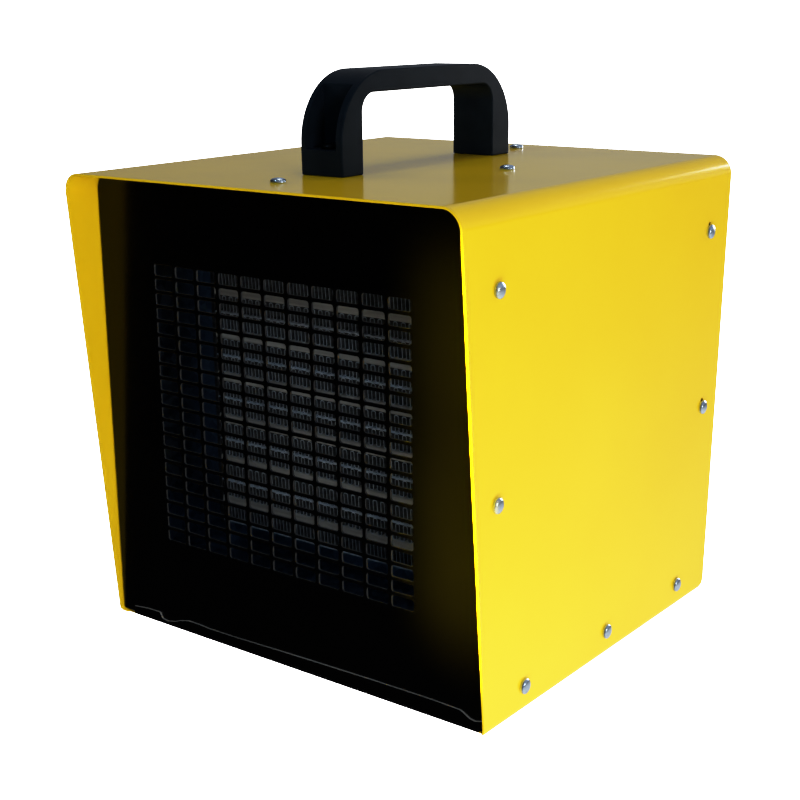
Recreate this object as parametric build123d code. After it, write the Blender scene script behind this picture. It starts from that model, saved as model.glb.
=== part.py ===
from build123d import *
import os

os.makedirs("parts", exist_ok=True)

# A portable forced air heater: a folded yellow wrap holds two black pans and a tray, and
# inside it a fan blows through a finned heating element. Lengths are in millimetres.
# While it is drawn, x runs across from the middle, y runs back from the front edge of the
# shell's top, and z runs up from the shell's underside. save() then moves each piece so
# that the origin is on the floor, under the middle of the heater.

# ---- Driving dimensions: outer shell ----
shell_w = 252.0
shell_h = 252.0
shell_d = 260.0
shell_t = 1.2
front_setback = 19.5  # how far the side's front edge leans back at the bottom
rear_setback = 13.0  # how far its rear edge leans forward at the bottom
top_bend_r = 10.5
bottom_bend_r = 4.5
side_corner = 4.0  # cut off the side's two lower corners
bottom_flange = 15.0
foot_h = 5.0

# ---- Driving dimensions: front and rear panels, base tray ----
sheet_gap = 0.2  # between a folded sheet and the wrap round it
panel_t = 1.2
panel_flange = 15.0
front_recess = 20.8
rear_recess = 17.0
panel_edge = 0.8
panel_low_corner = 1.5
tray_t = 1.2
tray_side_h = 22.8
tray_lip_h = 7.5
# The front lip's sheared top edge has a relief on the left and a step on the right. Each point is
# a distance from that side of the case and a height above its underside.
lip_left_edge = [
    (12.0, 6.9), (22.6, 8.1), (30.7, 8.2), (34.4, 5.0), (38.8, 4.6), (45.0, 6.1), (53.7, 8.4), (63.7, 8.9)
]
lip_right_edge = [(66.2, 11.0), (20.1, 11.2), (13.2, 10.8), (8.3, 8.2), (5.8, 7.7)]
lip_right_end = 8.8  # its height where it ends at the tray's right side
tray_corner_depth = 8.0  # cut away behind the lip's left end

grille_columns = 11
grille_rows = 20
grille_margin = 42.25  # from the case's side to the first slot
grille_z0 = 53.25
grille_top_margin = 46.75
upright_w = 2.2  # bars between slots
crossbar_h = 1.88

intake_columns = 2
intake_rows = 10
intake_margin = 49.0
intake_upright_w = 10.0
intake_slot_h = 6.4
intake_z0 = 58.0
intake_top_gap = 35.0  # from the control centres down to the last pitch

# ---- Driving dimensions: case screws ----
screw_head_r = 3.9
screw_head_h = 2.4
head_taper = 18.0
screw_r = 1.95
screw_len = 9.0
screw_hole_gap = 0.05
screw_sides = 6  # shanks, their holes and nuts are drawn with few faces
head_sides = 8
hidden_sides = 10  # threads, bores and recesses that nothing shows
ring_sides = 20
shell_hole_r = 2.3
key_slot_w = 2.4  # slot over the rear side screws, which shows above their heads
key_slot_top = 5.3
front_screw_y = 28.3
rear_screw_in = 24.8  # from the top's rear edge
high_screw_down = 39.0
low_screw_z = 113.75
base_screw_in = (53.3, 48.0)  # first from the top's front edge, last from its rear edge
base_screw_z = 14.2
top_front_screw_y = 26.5
middle_screw_x = 60.0
middle_screw_in = 8.5  # from the front of the fan plate's flange

# ---- Driving dimensions: handle ----
handle_w = 26.2
handle_len = 148.0
handle_back = 2.0  # behind the case's middle
handle_leg = 17.0
handle_h = 51.0
handle_beam = 11.0
handle_outer_r = 35.0
handle_inner_r = 9.5
handle_chamfer = 1.0
pocket_wall = 3.3
pocket_web = 3.0
pocket_floor = 13.0
handle_screw_r = 2.45
handle_screw_gap = 0.15
handle_screw_head_r = 4.5
handle_screw_head_h = 3.0
handle_nut_af = 8.0
handle_nut_h = 4.0

# ---- Driving dimensions: heating element and air duct ----
element_in = 11.75  # from the grille's side to the element's
element_up = 4.75  # from the grille's lower edge to the element's
element_y = 52.0
element_depth = 15.0
modules = 6
tube_h = 5.2
fin_plate_t = 0.8
fin_ribbon_t = 0.6
fin_waves = 4  # folds in each fin strip, far fewer than the real strip's sixty
rail_t = 4.0
rail_overhang = 2.0
terminal_w = 6.3
terminal_t = 0.8
terminal_len = 12.0
duct_side_gap = 26.0
duct_below_grille = 11.25
duct_top_gap = 36.0
duct_t = 0.8
duct_flange = 8.0
baffle_t = 1.0
baffle_lap = 5.0
cutout_x = 40.0
cutout_y = 92.0
cutout_r = 8.5
cutout_h = 7.0
cutout_base = (26.0, 12.0, 1.0)

# ---- Driving dimensions: fan and motor ----
fan_plate_y = 126.0
fan_plate_t = 1.0
fan_plate_flange = 15.0
fan_duct_gap = 9.0
fan_ring_t = 1.0
fan_ring_len = 11.0
blade_tip_gap = 3.0
blade_count = 5
blade_t = 1.6
blade_tip_w = 52.0
blade_root_w = 20.0
blade_root_in = 4.0
blade_camber = 12.0
blade_pitch = 28.0
hub_r = 20.0
hub_len = 18.0
hub_y = 94.0
shaft_r = 3.0
running_gap = 0.05
shaft_y0 = 89.0
fan_nut_r = 5.0
fan_nut_h = 5.0
strap_t = 2.0
strap_w = 14.0
strap_lap = 14.0
strap_boss_r = 34.0
strap_hole_r = 9.0
motor_bracket_t = 8.0
motor_bracket_w = 60.0
motor_bracket_h = 18.0
bracket_corner = 3.0
bearing_r = 6.0
stack_t = 20.0
stack_w = 62.0
stack_up = 22.0
stack_down = 46.0
stack_corner = 3.0
stack_leg = 10.0
stack_window_w = 36.0
stack_window_h = 17.0
rotor_r = 13.0
rotor_gap = 0.5
coil_w = 32.0
coil_wrap = 6.0
motor_screw_x = 24.0
motor_screw_r = 1.9
motor_screw_gap = 0.1
motor_screw_head_r = 3.6
motor_screw_head_h = 2.4

# ---- Driving dimensions: controls, terminal block, gland and feet ----
control_x = 46.0
control_down = 33.0
spindle_r = 3.0
bushing_r = 4.9
bushing_gap = 0.2
bushing_out = 6.0
control_nut_af = 14.0
control_nut_h = 2.4
switch_size = (32.0, 28.0, 32.0)
thermostat_size = (38.0, 20.0, 44.0)
spindle_in = 16.0
spindle_out = 11.5
knob_r = 17.0
knob_taper = 15.0
knob_skirt_h = 5.5
knob_grip_w = 8.0
knob_grip_len = 29.0
knob_grip_h = 8.0
knob_standoff = 1.2
knob_recess_r = 9.5
knob_recess_h = 5.8
gland_in = 38.0
gland_z = 30.0
gland_thread_r = 7.9
gland_hole_gap = 0.2
gland_bore_r = 4.1
gland_hex_af = 19.0
gland_hex_h = 4.0
gland_dome_r = 9.2
gland_taper = 13.0
gland_sides = 16
gland_dome_h = 11.0
gland_tail = 9.0
gland_nut_af = 22.0
gland_nut_h = 4.0
terminal_block_size = (48.0, 16.0, 18.0)
terminal_block_in = (74.0, 60.0)  # its middle, from the case's right side and rear
terminal_ways = 4
terminal_well = 6.0
terminal_well_depth = 9.0
foot_r = 10.0
foot_sides = 12
foot_in = (28.0, 45.0, 42.0)  # from the case's side, front and rear
foot_recess_r = 4.6
foot_recess_h = 3.0
foot_screw_len = 9.0

# ---- Sizes that follow ----
grille_w = shell_w - 2 * grille_margin
grille_z1 = shell_h - grille_top_margin
element_w = grille_w - 2 * element_in
element_z0 = grille_z0 + element_up
module_pitch = (grille_z1 - element_up - element_z0 - fin_plate_t) / modules
duct_half_w = shell_w / 2 - duct_side_gap
duct_z0 = grille_z0 - duct_below_grille
duct_z1 = shell_h - duct_top_gap
fan_z = (duct_z0 + duct_z1) / 2
fan_hole_r = (duct_z1 - duct_z0) / 2 - fan_duct_gap
blade_tip_r = fan_hole_r - blade_tip_gap
strap_reach = fan_hole_r + strap_lap
control_z = shell_h - control_down
gland_x = shell_w / 2 - gland_in
handle_y0 = (shell_d - handle_len) / 2 + handle_back
inner_half_w = shell_w / 2 - shell_t
inner_top = shell_h - shell_t
sheet_half_w = inner_half_w - sheet_gap
sheet_top = inner_top - sheet_gap
sheet_corner_r = top_bend_r - shell_t - sheet_gap
tray_bend_r = bottom_bend_r - shell_t
front_y = front_recess
rear_y = shell_d - rear_recess
tray_z = shell_t + tray_t
handle_top_z = shell_h + handle_h
handle_y1 = handle_y0 + handle_len
fin_h = (module_pitch - tube_h - fin_plate_t) / 2
element_h = modules * module_pitch + fin_plate_t
strap_y = fan_plate_y + fan_plate_t
bracket_y = strap_y + strap_t
stack_y = bracket_y + motor_bracket_t
rear_bracket_y = stack_y + stack_t
motor_end_y = rear_bracket_y + motor_bracket_t


# ---- Helpers ----
def save(node, *shapes):
    """Writes one node's solids, moved so that the origin is on the floor under the middle."""
    solids = [solid for shape in shapes for solid in shape.solids()]
    group = solids[0] if len(solids) == 1 else Compound(solids)
    export_step(Pos(0, -shell_d / 2, foot_h) * group, f"parts/{node}.step")


def block(x0, x1, y0, y1, z0, z1):
    """A box between two corners."""
    middle = Pos((x0 + x1) / 2, (y0 + y1) / 2, (z0 + z1) / 2)
    return middle * Box(x1 - x0, y1 - y0, z1 - z0)


def along_y(sketch, y0, y1):
    """A sketch in x and z, drawn out from y0 back to y1."""
    return extrude(Plane.XZ.offset(-y0) * sketch, amount=y1 - y0, dir=(0, 1, 0))


def rod_y(x, z, r, y0, y1):
    return along_y(Pos(x, z) * Circle(r), y0, y1)


def rod_z(x, y, r, z0, z1):
    return Pos(x, y, (z0 + z1) / 2) * Cylinder(r, z1 - z0)


def clear_of(r, sides=hidden_sides):
    """A hole of few faces that clears a round of radius r."""
    return RegularPolygon(r, sides, major_radius=False)


def hole_z(x, y, r, z0, z1, sides=screw_sides):
    """What a hidden hole along z removes."""
    return Pos(x, y, z0) * extrude(clear_of(r, sides), amount=z1 - z0)


def facing(x, y, z, way):
    """A place whose own z axis points along way, one of '+x', '-x', '+y', '+z' or '-z'."""
    turn = {"+x": (0, 90, 0), "-x": (0, -90, 0), "+y": (-90, 0, 0), "+z": (0, 0, 0), "-z": (180, 0, 0)}
    return Location((x, y, z), turn[way])


def screw(head_r, head_h, r, length):
    """A pan head screw under its own origin, with its head above it."""
    head = extrude(RegularPolygon(head_r, head_sides), amount=head_h, taper=head_taper)
    return head + extrude(RegularPolygon(r, screw_sides), amount=-length)


def screw_hole(r, depth):
    """What a screw's hole removes, from just above its origin down to a depth."""
    return Pos(0, 0, 1) * extrude(RegularPolygon(r, screw_sides), amount=-depth - 1)


# ---- Where the case screws go ----
rear_screw_y = shell_d - rear_screw_in
side_screw_z = (low_screw_z, shell_h - high_screw_down)
base_front_y, base_rear_y = base_screw_in[0], shell_d - base_screw_in[1]
base_screw_y = (base_front_y, (base_front_y + base_rear_y) / 2, base_rear_y)
side_places = [(y, z) for y in (front_screw_y, rear_screw_y) for z in side_screw_z]
side_places += [(y, base_screw_z) for y in base_screw_y]
side_spots = [facing(shell_w / 2, y, z, "+x") for y, z in side_places]
side_spots += [facing(-shell_w / 2, y, z, "-x") for y, z in side_places]
top_places = [(0, top_front_screw_y), (0, rear_screw_y)]
middle_screw_y = fan_plate_y + middle_screw_in
top_places += [(side * middle_screw_x, middle_screw_y) for side in (-1, 1)]
top_spots = [facing(x, y, shell_h, "+z") for x, y in top_places]
case_spots = side_spots + top_spots
pilot_hole = screw_hole(screw_r + screw_hole_gap, screw_len + 1)


# ---- Outer shell ----
def wrap_section(inset):
    """The wrap's outline across the heater, inset from its outside."""
    outline = Pos(0, shell_h / 2) * Rectangle(shell_w - 2 * inset, shell_h - 2 * inset)
    outline = fillet(outline.vertices().group_by(Axis.Y)[-1], top_bend_r - inset)
    return fillet(outline.vertices().group_by(Axis.Y)[0], bottom_bend_r - inset)


def side_outline():
    """The side, its front and rear edges leaning in towards the base, its low corners cut off."""
    corners = [
        (0, shell_h),
        (shell_d, shell_h),
        (shell_d - rear_setback, 0),
        (front_setback, 0),
    ]
    side = make_face(Polyline(*corners, close=True))
    return chamfer(side.vertices().group_by(Axis.Y)[0], side_corner)


def outer_shell():
    open_half = shell_w / 2 - bottom_flange
    section = wrap_section(0) - wrap_section(shell_t)
    section -= Rectangle(2 * open_half, 3 * shell_t)
    shell = along_y(section, 0, shell_d)
    sides = extrude(Plane.YZ * side_outline(), amount=shell_w / 2 + 1, both=True)
    shell &= sides
    hole = screw_hole(shell_hole_r, shell_t + 1)
    shell -= [spot * hole for spot in case_spots]
    for z in side_screw_z:
        slot_y = (rear_screw_y - key_slot_w / 2, rear_screw_y + key_slot_w / 2)
        for x0 in (-shell_w / 2 - 1, inner_half_w - 1):
            shell -= block(x0, x0 + shell_t + 2, *slot_y, z, z + key_slot_top)
    for y in handle_screw_ys():
        shell -= hole_z(0, y, handle_screw_r + handle_screw_gap, inner_top - 1, shell_h + 1)
    return shell


# ---- Front and rear panels ----
def pan(y, inward, holes):
    """A flat panel whose outer face is at y, with side and top flanges folded inward."""
    face = Pos(0, (tray_z + sheet_top) / 2) * Rectangle(2 * sheet_half_w, sheet_top - tray_z)
    face = fillet(face.vertices().group_by(Axis.Y)[-1], sheet_corner_r)
    face = chamfer(face.vertices().group_by(Axis.Y)[0], panel_low_corner)
    inner_y = y + inward * panel_t
    body = along_y(face - holes, min(y, inner_y), max(y, inner_y))
    flange_y = sorted((y, y + inward * panel_flange))
    flange_z0 = shell_t + tray_side_h + 2 * tray_t
    flange_z1 = sheet_top - sheet_corner_r
    for side in (-1, 1):
        x0, x1 = sorted((side * sheet_half_w, side * (sheet_half_w - panel_t)))
        body += block(x0, x1, *flange_y, flange_z0, flange_z1)
    flange_x = sheet_half_w - sheet_corner_r
    body += block(-flange_x, flange_x, *flange_y, sheet_top - panel_t, sheet_top)
    corner = body.edges().filter_by(Axis.Z).filter_by(
        lambda e: abs(abs(e.center().X) - sheet_half_w) < 0.01 and abs(e.center().Y - y) < 0.01
    )
    body = chamfer(corner, panel_edge)
    return body - [spot * pilot_hole for spot in case_spots]


def front_panel():
    pitch_x = (grille_w + upright_w) / grille_columns
    pitch_z = (grille_z1 - grille_z0 + crossbar_h) / grille_rows
    slot = Rectangle(pitch_x - upright_w, pitch_z - crossbar_h)
    middle = Pos(0, (grille_z0 + grille_z1) / 2)
    grid = GridLocations(pitch_x, pitch_z, grille_columns, grille_rows)
    slots = [middle * spot * slot for spot in grid]
    return pan(front_y, 1, slots)


def rear_panel():
    pitch_x = (shell_w - 2 * intake_margin + intake_upright_w) / intake_columns
    pitch_z = (control_z - intake_top_gap - intake_z0) / intake_rows
    slot = Rectangle(pitch_x - intake_upright_w, intake_slot_h)
    middle = Pos(0, intake_z0 + ((intake_rows - 1) * pitch_z + intake_slot_h) / 2)
    grid = GridLocations(pitch_x, pitch_z, intake_columns, intake_rows)
    holes = [middle * spot * slot for spot in grid]
    control = clear_of(bushing_r + bushing_gap)
    holes += [Pos(side * control_x, control_z) * control for side in (-1, 1)]
    holes += [Pos(gland_x, gland_z) * clear_of(gland_thread_r + gland_hole_gap)]
    return pan(rear_y, -1, holes)


# ---- Base tray ----
def front_lip_outline():
    """The lip across the front, whose sheared edge climbs to the right past a relief."""
    left = [(side - shell_w / 2, height) for side, height in lip_left_edge]
    right = [(shell_w / 2 - side, height) for side, height in lip_right_edge]
    ends = [(sheet_half_w, lip_right_end), (sheet_half_w, shell_t), (left[0][0], shell_t)]
    return make_face(Polyline(*left, *right, *ends, close=True))


def base_tray():
    lip_y0 = front_y - tray_t
    lip_y1 = rear_y + tray_t
    tray = block(-sheet_half_w, sheet_half_w, lip_y0, lip_y1, shell_t, tray_z)
    tray += along_y(front_lip_outline(), lip_y0, front_y)
    tray += block(-sheet_half_w, sheet_half_w, rear_y, lip_y1, shell_t, shell_t + tray_lip_h)
    side_y = (front_y + panel_flange + tray_t, rear_y - panel_flange - tray_t)
    for side in (-1, 1):
        x0, x1 = sorted((side * sheet_half_w, side * (sheet_half_w - tray_t)))
        tray += block(x0, x1, *side_y, shell_t, shell_t + tray_side_h)
    inside = Pos(0, shell_t + tray_side_h) * Rectangle(2 * sheet_half_w, 2 * tray_side_h)
    inside = fillet(inside.vertices().group_by(Axis.Y)[0], tray_bend_r)
    tray &= along_y(inside, lip_y0, lip_y1)
    lip_x0 = lip_left_edge[0][0] - shell_w / 2
    tray -= block(-shell_w, lip_x0, 0, lip_y0 + tray_corner_depth, 0, tray_side_h)
    tray -= [spot * pilot_hole for spot in side_spots]
    hole = screw_hole(screw_r + screw_hole_gap, 2 * tray_t)
    return tray - [Location((x, y, tray_z)) * hole for x, y in foot_places()]


# ---- Handle ----
def handle_screw_ys():
    """Where the two handle screws stand, in the middle of each end pocket."""
    in_pocket = (handle_leg - pocket_web) / 2
    return (handle_y0 + in_pocket, handle_y1 - in_pocket)


def handle():
    outer = Pos(handle_y0 + handle_len / 2, shell_h + handle_h / 2) * Rectangle(handle_len, handle_h)
    outer = fillet(outer.vertices().group_by(Axis.Y)[-1], handle_outer_r)
    gap_w = handle_len - 2 * handle_leg
    gap_h = handle_h - handle_beam
    inner = Pos(handle_y0 + handle_len / 2, shell_h + gap_h / 2) * Rectangle(gap_w, gap_h)
    inner = fillet(inner.vertices().group_by(Axis.Y)[-1], handle_inner_r)
    body = extrude(Plane.YZ * outer, amount=handle_w / 2, both=True)
    rims = body.edges().filter_by(Plane.YZ).filter_by(lambda e: e.center().Z > shell_h + handle_beam)
    body = chamfer(rims, handle_chamfer) - extrude(Plane.YZ * inner, amount=handle_w, both=True)
    pocket_x = handle_w / 2 - pocket_wall
    floor_z = shell_h + pocket_floor
    pocket_depth = handle_leg - pocket_web
    body -= block(-pocket_x, pocket_x, handle_y0 - 1, handle_y0 + pocket_depth, floor_z, handle_top_z)
    body -= block(-pocket_x, pocket_x, handle_y1 - pocket_depth, handle_y1 + 1, floor_z, handle_top_z)
    for y in handle_screw_ys():
        body -= hole_z(0, y, handle_screw_r + handle_screw_gap, shell_h - 1, floor_z + 1)
    return body


def handle_fixings():
    """The two long screws in the handle's pockets and the nuts under the shell."""
    grip = pocket_floor + shell_t + handle_nut_h + 1
    floor_z = shell_h + pocket_floor
    screws, nuts = [], []
    for y in handle_screw_ys():
        one = screw(handle_screw_head_r, handle_screw_head_h, handle_screw_r, grip)
        screws.append(Pos(0, y, floor_z) * one)
        nut = clear_of(handle_nut_af / 2, 6) - clear_of(handle_screw_r, screw_sides)
        nuts.append(Pos(0, y, inner_top - handle_nut_h) * extrude(nut, amount=handle_nut_h))
    return screws, nuts


# ---- Heating element ----
def element_pieces():
    """Flat tubes with a folded fin strip over and under each, and a thin plate between."""
    half = element_w / 2
    y0, y1 = element_y, element_y + element_depth
    tubes, fins, plates = [], [], []
    for row in range(modules + 1):
        z = element_z0 + row * module_pitch
        plates.append(block(-half, half, y0, y1, z, z + fin_plate_t))
        if row == modules:
            break
        tube_z = z + fin_plate_t + fin_h
        tubes.append(block(-half, half, y0, y1, tube_z, tube_z + tube_h))
        fins.append(fin_strip(z + fin_plate_t))
        fins.append(fin_strip(tube_z + tube_h))
    return tubes, fins, plates


def fin_strip(z0):
    """One ribbon folded up and down between two flat faces."""
    fold = element_w / (2 * fin_waves)
    low, high = z0, z0 + fin_h - fin_ribbon_t
    ridge = [(-element_w / 2 + i * fold, high if i % 2 else low) for i in range(2 * fin_waves + 1)]
    back = [(x, z + fin_ribbon_t) for x, z in reversed(ridge)]
    ribbon = make_face(Polyline(*ridge, *back, close=True))
    return along_y(ribbon, element_y, element_y + element_depth)


def element_rails():
    """The two end rails that clamp the tubes and plates."""
    z0, z1 = element_z0 - rail_overhang, element_z0 + element_h + rail_overhang
    rails = []
    for side in (-1, 1):
        x0, x1 = sorted((side * element_w / 2, side * (element_w / 2 + rail_t)))
        rails.append(block(x0, x1, element_y, element_y + element_depth, z0, z1))
    return rails


def element_terminals():
    """A blade terminal on the right rail for each tube."""
    x0 = element_w / 2 + rail_t
    y0 = element_y + (element_depth - terminal_w) / 2
    blades = []
    for row in range(modules):
        z = element_z0 + (row + 0.5) * module_pitch
        blades.append(block(x0, x0 + terminal_len, y0, y0 + terminal_w, z, z + terminal_t))
    return blades


def element_baffle():
    """A plate behind the element that fills the duct round it."""
    y0 = element_y + element_depth
    inside = duct_half_w - duct_t
    height = duct_z1 - duct_z0 - 2 * duct_t
    plate = Pos(0, (duct_z0 + duct_z1) / 2) * Rectangle(2 * inside, height)
    window_w, window_h = element_w - 2 * baffle_lap, element_h - 2 * baffle_lap
    plate -= Pos(0, element_z0 + element_h / 2) * Rectangle(window_w, window_h)
    return along_y(plate, y0, y0 + baffle_t)


def air_duct():
    """A galvanised sleeve from the front panel back to the fan plate."""
    middle = Pos(0, (duct_z0 + duct_z1) / 2)
    width, height = 2 * duct_half_w, duct_z1 - duct_z0
    outside = middle * Rectangle(width, height)
    inside = middle * Rectangle(width - 2 * duct_t, height - 2 * duct_t)
    flange = middle * Rectangle(width + 2 * duct_flange, height + 2 * duct_flange)
    y0 = front_y + panel_t
    return along_y(outside - inside, y0, fan_plate_y) + along_y(flange - inside, y0, y0 + duct_t)


def thermal_cutout():
    """A disc thermostat on a small plate, screwed on top of the duct."""
    width, depth, height = cutout_base
    plate = Pos(cutout_x, cutout_y, duct_z1 + height / 2) * Box(width, depth, height)
    disc = Pos(cutout_x, cutout_y, duct_z1 + height) * extrude(clear_of(cutout_r), amount=cutout_h)
    return plate + disc


# ---- Fan plate, motor strap and motor ----
def fan_plate():
    """The bulkhead behind the duct, with its rolled ring and its top and bottom flanges."""
    width, height = 2 * sheet_half_w, sheet_top - tray_z
    face = Pos(0, (tray_z + sheet_top) / 2) * Rectangle(width, height)
    face = fillet(face.vertices().group_by(Axis.Y)[-1], sheet_corner_r)
    low = [v for v in face.vertices() if v.Y < tray_z + 1]
    face = chamfer(low, tray_t + tray_side_h)
    hole = Pos(0, fan_z) * clear_of(fan_hole_r, ring_sides)
    ring = Pos(0, fan_z) * clear_of(fan_hole_r + fan_ring_t, ring_sides) - hole
    back_y = fan_plate_y + fan_plate_t
    plate = along_y(face - hole, fan_plate_y, back_y)
    plate += along_y(ring, back_y - fan_ring_len, back_y)
    reach = sheet_half_w - sheet_corner_r
    flange_y = (fan_plate_y, fan_plate_y + fan_plate_flange)
    plate += block(-reach, reach, *flange_y, sheet_top - fan_plate_t, sheet_top)
    foot_reach = sheet_half_w - tray_t - tray_side_h
    plate += block(-foot_reach, foot_reach, *flange_y, tray_z, tray_z + fan_plate_t)
    return plate - [spot * pilot_hole for spot in top_spots]


def motor_strap():
    """The cross on the back of the fan plate that carries the motor."""
    bar = Rectangle(2 * strap_reach, strap_w)
    cross = Pos(0, fan_z) * (Rot(0, 0, 45) * bar + Rot(0, 0, -45) * bar + clear_of(strap_boss_r))
    cross -= Pos(0, fan_z) * clear_of(strap_hole_r)
    cross -= motor_screw_holes()
    return along_y(cross, strap_y, strap_y + strap_t)


def motor_screw_holes():
    hole = RegularPolygon(motor_screw_r + motor_screw_gap, screw_sides)
    return [Pos(side * motor_screw_x, fan_z) * hole for side in (-1, 1)]


def motor_bracket(y0):
    """An end bracket with a bore for its bearing and a hole for each long screw."""
    outline = Pos(0, fan_z) * Rectangle(motor_bracket_w, motor_bracket_h)
    outline = chamfer(outline.vertices(), bracket_corner)
    outline -= Pos(0, fan_z) * clear_of(bearing_r)
    outline -= motor_screw_holes()
    return along_y(outline, y0, y0 + motor_bracket_t)


def bearing(y0):
    ring = Pos(0, fan_z) * (clear_of(bearing_r) - clear_of(shaft_r + running_gap))
    return along_y(ring, y0, y0 + motor_bracket_t)


def motor_stack():
    """The laminated core, with the rotor's bore above and the coil's window below."""
    height = stack_up + stack_down
    outline = Pos(0, fan_z + (stack_up - stack_down) / 2) * Rectangle(stack_w, height)
    outline = chamfer(outline.vertices(), stack_corner)
    outline -= Pos(0, fan_z) * clear_of(rotor_r + rotor_gap)
    window_z = fan_z - stack_down + stack_leg + stack_window_h / 2
    outline -= Pos(0, window_z) * Rectangle(stack_window_w, stack_window_h)
    outline -= motor_screw_holes()
    return along_y(outline, stack_y, stack_y + stack_t)


def motor_coil():
    """The winding round the leg under the window."""
    leg_z = fan_z - stack_down
    z0, z1 = leg_z - coil_wrap, leg_z + stack_leg + coil_wrap
    y0, y1 = stack_y - coil_wrap, stack_y + stack_t + coil_wrap
    coil = block(-coil_w / 2, coil_w / 2, y0, y1, z0, z1)
    coil = chamfer(coil.edges().filter_by(Axis.X), coil_wrap / 2)
    gap = sheet_gap
    leg = block(
        -coil_w, coil_w, stack_y - gap, stack_y + stack_t + gap, leg_z - gap, leg_z + stack_leg + gap
    )
    return coil - leg


def motor_screws():
    """Two long screws that hold the strap, the brackets and the core together."""
    one = screw(motor_screw_head_r, motor_screw_head_h, motor_screw_r, motor_end_y - strap_y)
    return [facing(side * motor_screw_x, motor_end_y, fan_z, "+y") * one for side in (-1, 1)]


# ---- Rotor, shaft and impeller ----
def motor_rotor():
    rotor = Pos(0, fan_z) * (RegularPolygon(rotor_r, hidden_sides) - clear_of(shaft_r))
    return along_y(rotor, stack_y, stack_y + stack_t)


def blade():
    """One cambered sheet blade along x, narrow at the hub and wide at its blunt tip."""
    root, root_half = hub_r - blade_root_in, blade_root_w / 2
    tip_half = blade_tip_w / 2
    tip = (blade_tip_r**2 - tip_half**2) ** 0.5
    low_side = [(tip, -tip_half), (root, -root_half)]
    high_side = [(root, root_half), (tip, tip_half)]
    outline = make_face(Polyline(*low_side, *high_side, (blade_tip_r, 0), close=True))
    end, rise = blade_tip_w, blade_camber
    over = ThreePointArc((-end, -rise), (0, blade_t / 2), (end, -rise))
    under = ThreePointArc((end, -rise - blade_t), (0, -blade_t / 2), (-end, -rise - blade_t))
    ends = Line((end, -rise), (end, -rise - blade_t)) + Line((-end, -rise - blade_t), (-end, -rise))
    section = make_face(over + under + ends)
    flat = Plane(origin=(0, 0, 0), x_dir=(0, 0, 1), z_dir=(1, 0, 0))
    sheet = extrude(flat * Rot(0, 0, blade_pitch) * section, amount=blade_tip_r + 1)
    return sheet & along_y(outline, -blade_tip_w, blade_tip_w)


def fan_impeller():
    """Hub and blades, with the shaft's bore through the hub."""
    one = blade()
    blades = [Rot(0, 360 / blade_count * i, 0) * one for i in range(blade_count)]
    hub = along_y(RegularPolygon(hub_r, ring_sides), -hub_len / 2, hub_len / 2)
    impeller = hub + blades
    impeller = Pos(0, hub_y + hub_len / 2, fan_z) * impeller
    return impeller - along_y(Pos(0, fan_z) * clear_of(shaft_r), hub_y - 20, hub_y + hub_len + 20)


def fan_nut():
    nut = Pos(0, fan_z) * (clear_of(fan_nut_r, 6) - clear_of(shaft_r, hidden_sides))
    return along_y(nut, hub_y - fan_nut_h, hub_y)


# ---- Controls on the rear panel ----
def control_body(x, size):
    """A switch or thermostat behind the panel, with a threaded bushing through it."""
    width, depth, height = size
    y1 = rear_y - panel_t
    body = block(x - width / 2, x + width / 2, y1 - depth, y1, control_z - height / 2, control_z + height / 2)
    body += along_y(Pos(x, control_z) * clear_of(bushing_r), y1, rear_y + bushing_out)
    bore = Pos(x, control_z) * clear_of(spindle_r + running_gap)
    return body - along_y(bore, y1 - spindle_in, rear_y + bushing_out + 1)


def control_nut(x):
    outline = clear_of(control_nut_af / 2, 6) - clear_of(bushing_r, hidden_sides)
    return along_y(Pos(x, control_z) * outline, rear_y, rear_y + control_nut_h)


def control_spindle(x):
    return rod_y(x, control_z, spindle_r, rear_y - panel_t - spindle_in, rear_y + spindle_out)


def control_knob(x):
    """A skirted knob with a raised grip bar, hollow underneath to clear the nut."""
    y0 = rear_y + knob_standoff
    skirt = extrude(RegularPolygon(knob_r, ring_sides), amount=knob_skirt_h, taper=knob_taper)
    skirt = facing(x, y0, control_z, "+y") * skirt
    grip = Pos(x, control_z) * Rectangle(knob_grip_w, knob_grip_len)
    grip = chamfer(grip.vertices(), knob_grip_w / 4)
    knob = skirt + along_y(grip, y0 + knob_skirt_h, y0 + knob_skirt_h + knob_grip_h)
    knob -= along_y(Pos(x, control_z) * clear_of(knob_recess_r), y0 - 1, y0 + knob_recess_h - 1)
    return knob - along_y(Pos(x, control_z) * clear_of(spindle_r), y0, rear_y + spindle_out)


# ---- Cable gland and terminal block ----
def cable_gland():
    """A hexagon and a domed cap outside the panel, and a threaded tail through it."""
    hexagon = Pos(gland_x, gland_z) * clear_of(gland_hex_af / 2, 6)
    dome_y = rear_y + gland_hex_h
    gland = along_y(hexagon, rear_y, dome_y)
    dome = extrude(RegularPolygon(gland_dome_r, gland_sides), amount=gland_dome_h, taper=gland_taper)
    gland += facing(gland_x, dome_y, gland_z, "+y") * dome
    tail_y = rear_y - panel_t - gland_tail
    gland += along_y(Pos(gland_x, gland_z) * clear_of(gland_thread_r), tail_y, rear_y)
    return gland - rod_y(gland_x, gland_z, gland_bore_r, tail_y - 1, dome_y + gland_dome_h + 1)


def gland_nut():
    outline = clear_of(gland_nut_af / 2, 6) - clear_of(gland_thread_r)
    y1 = rear_y - panel_t
    return along_y(Pos(gland_x, gland_z) * outline, y1 - gland_nut_h, y1)


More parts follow.
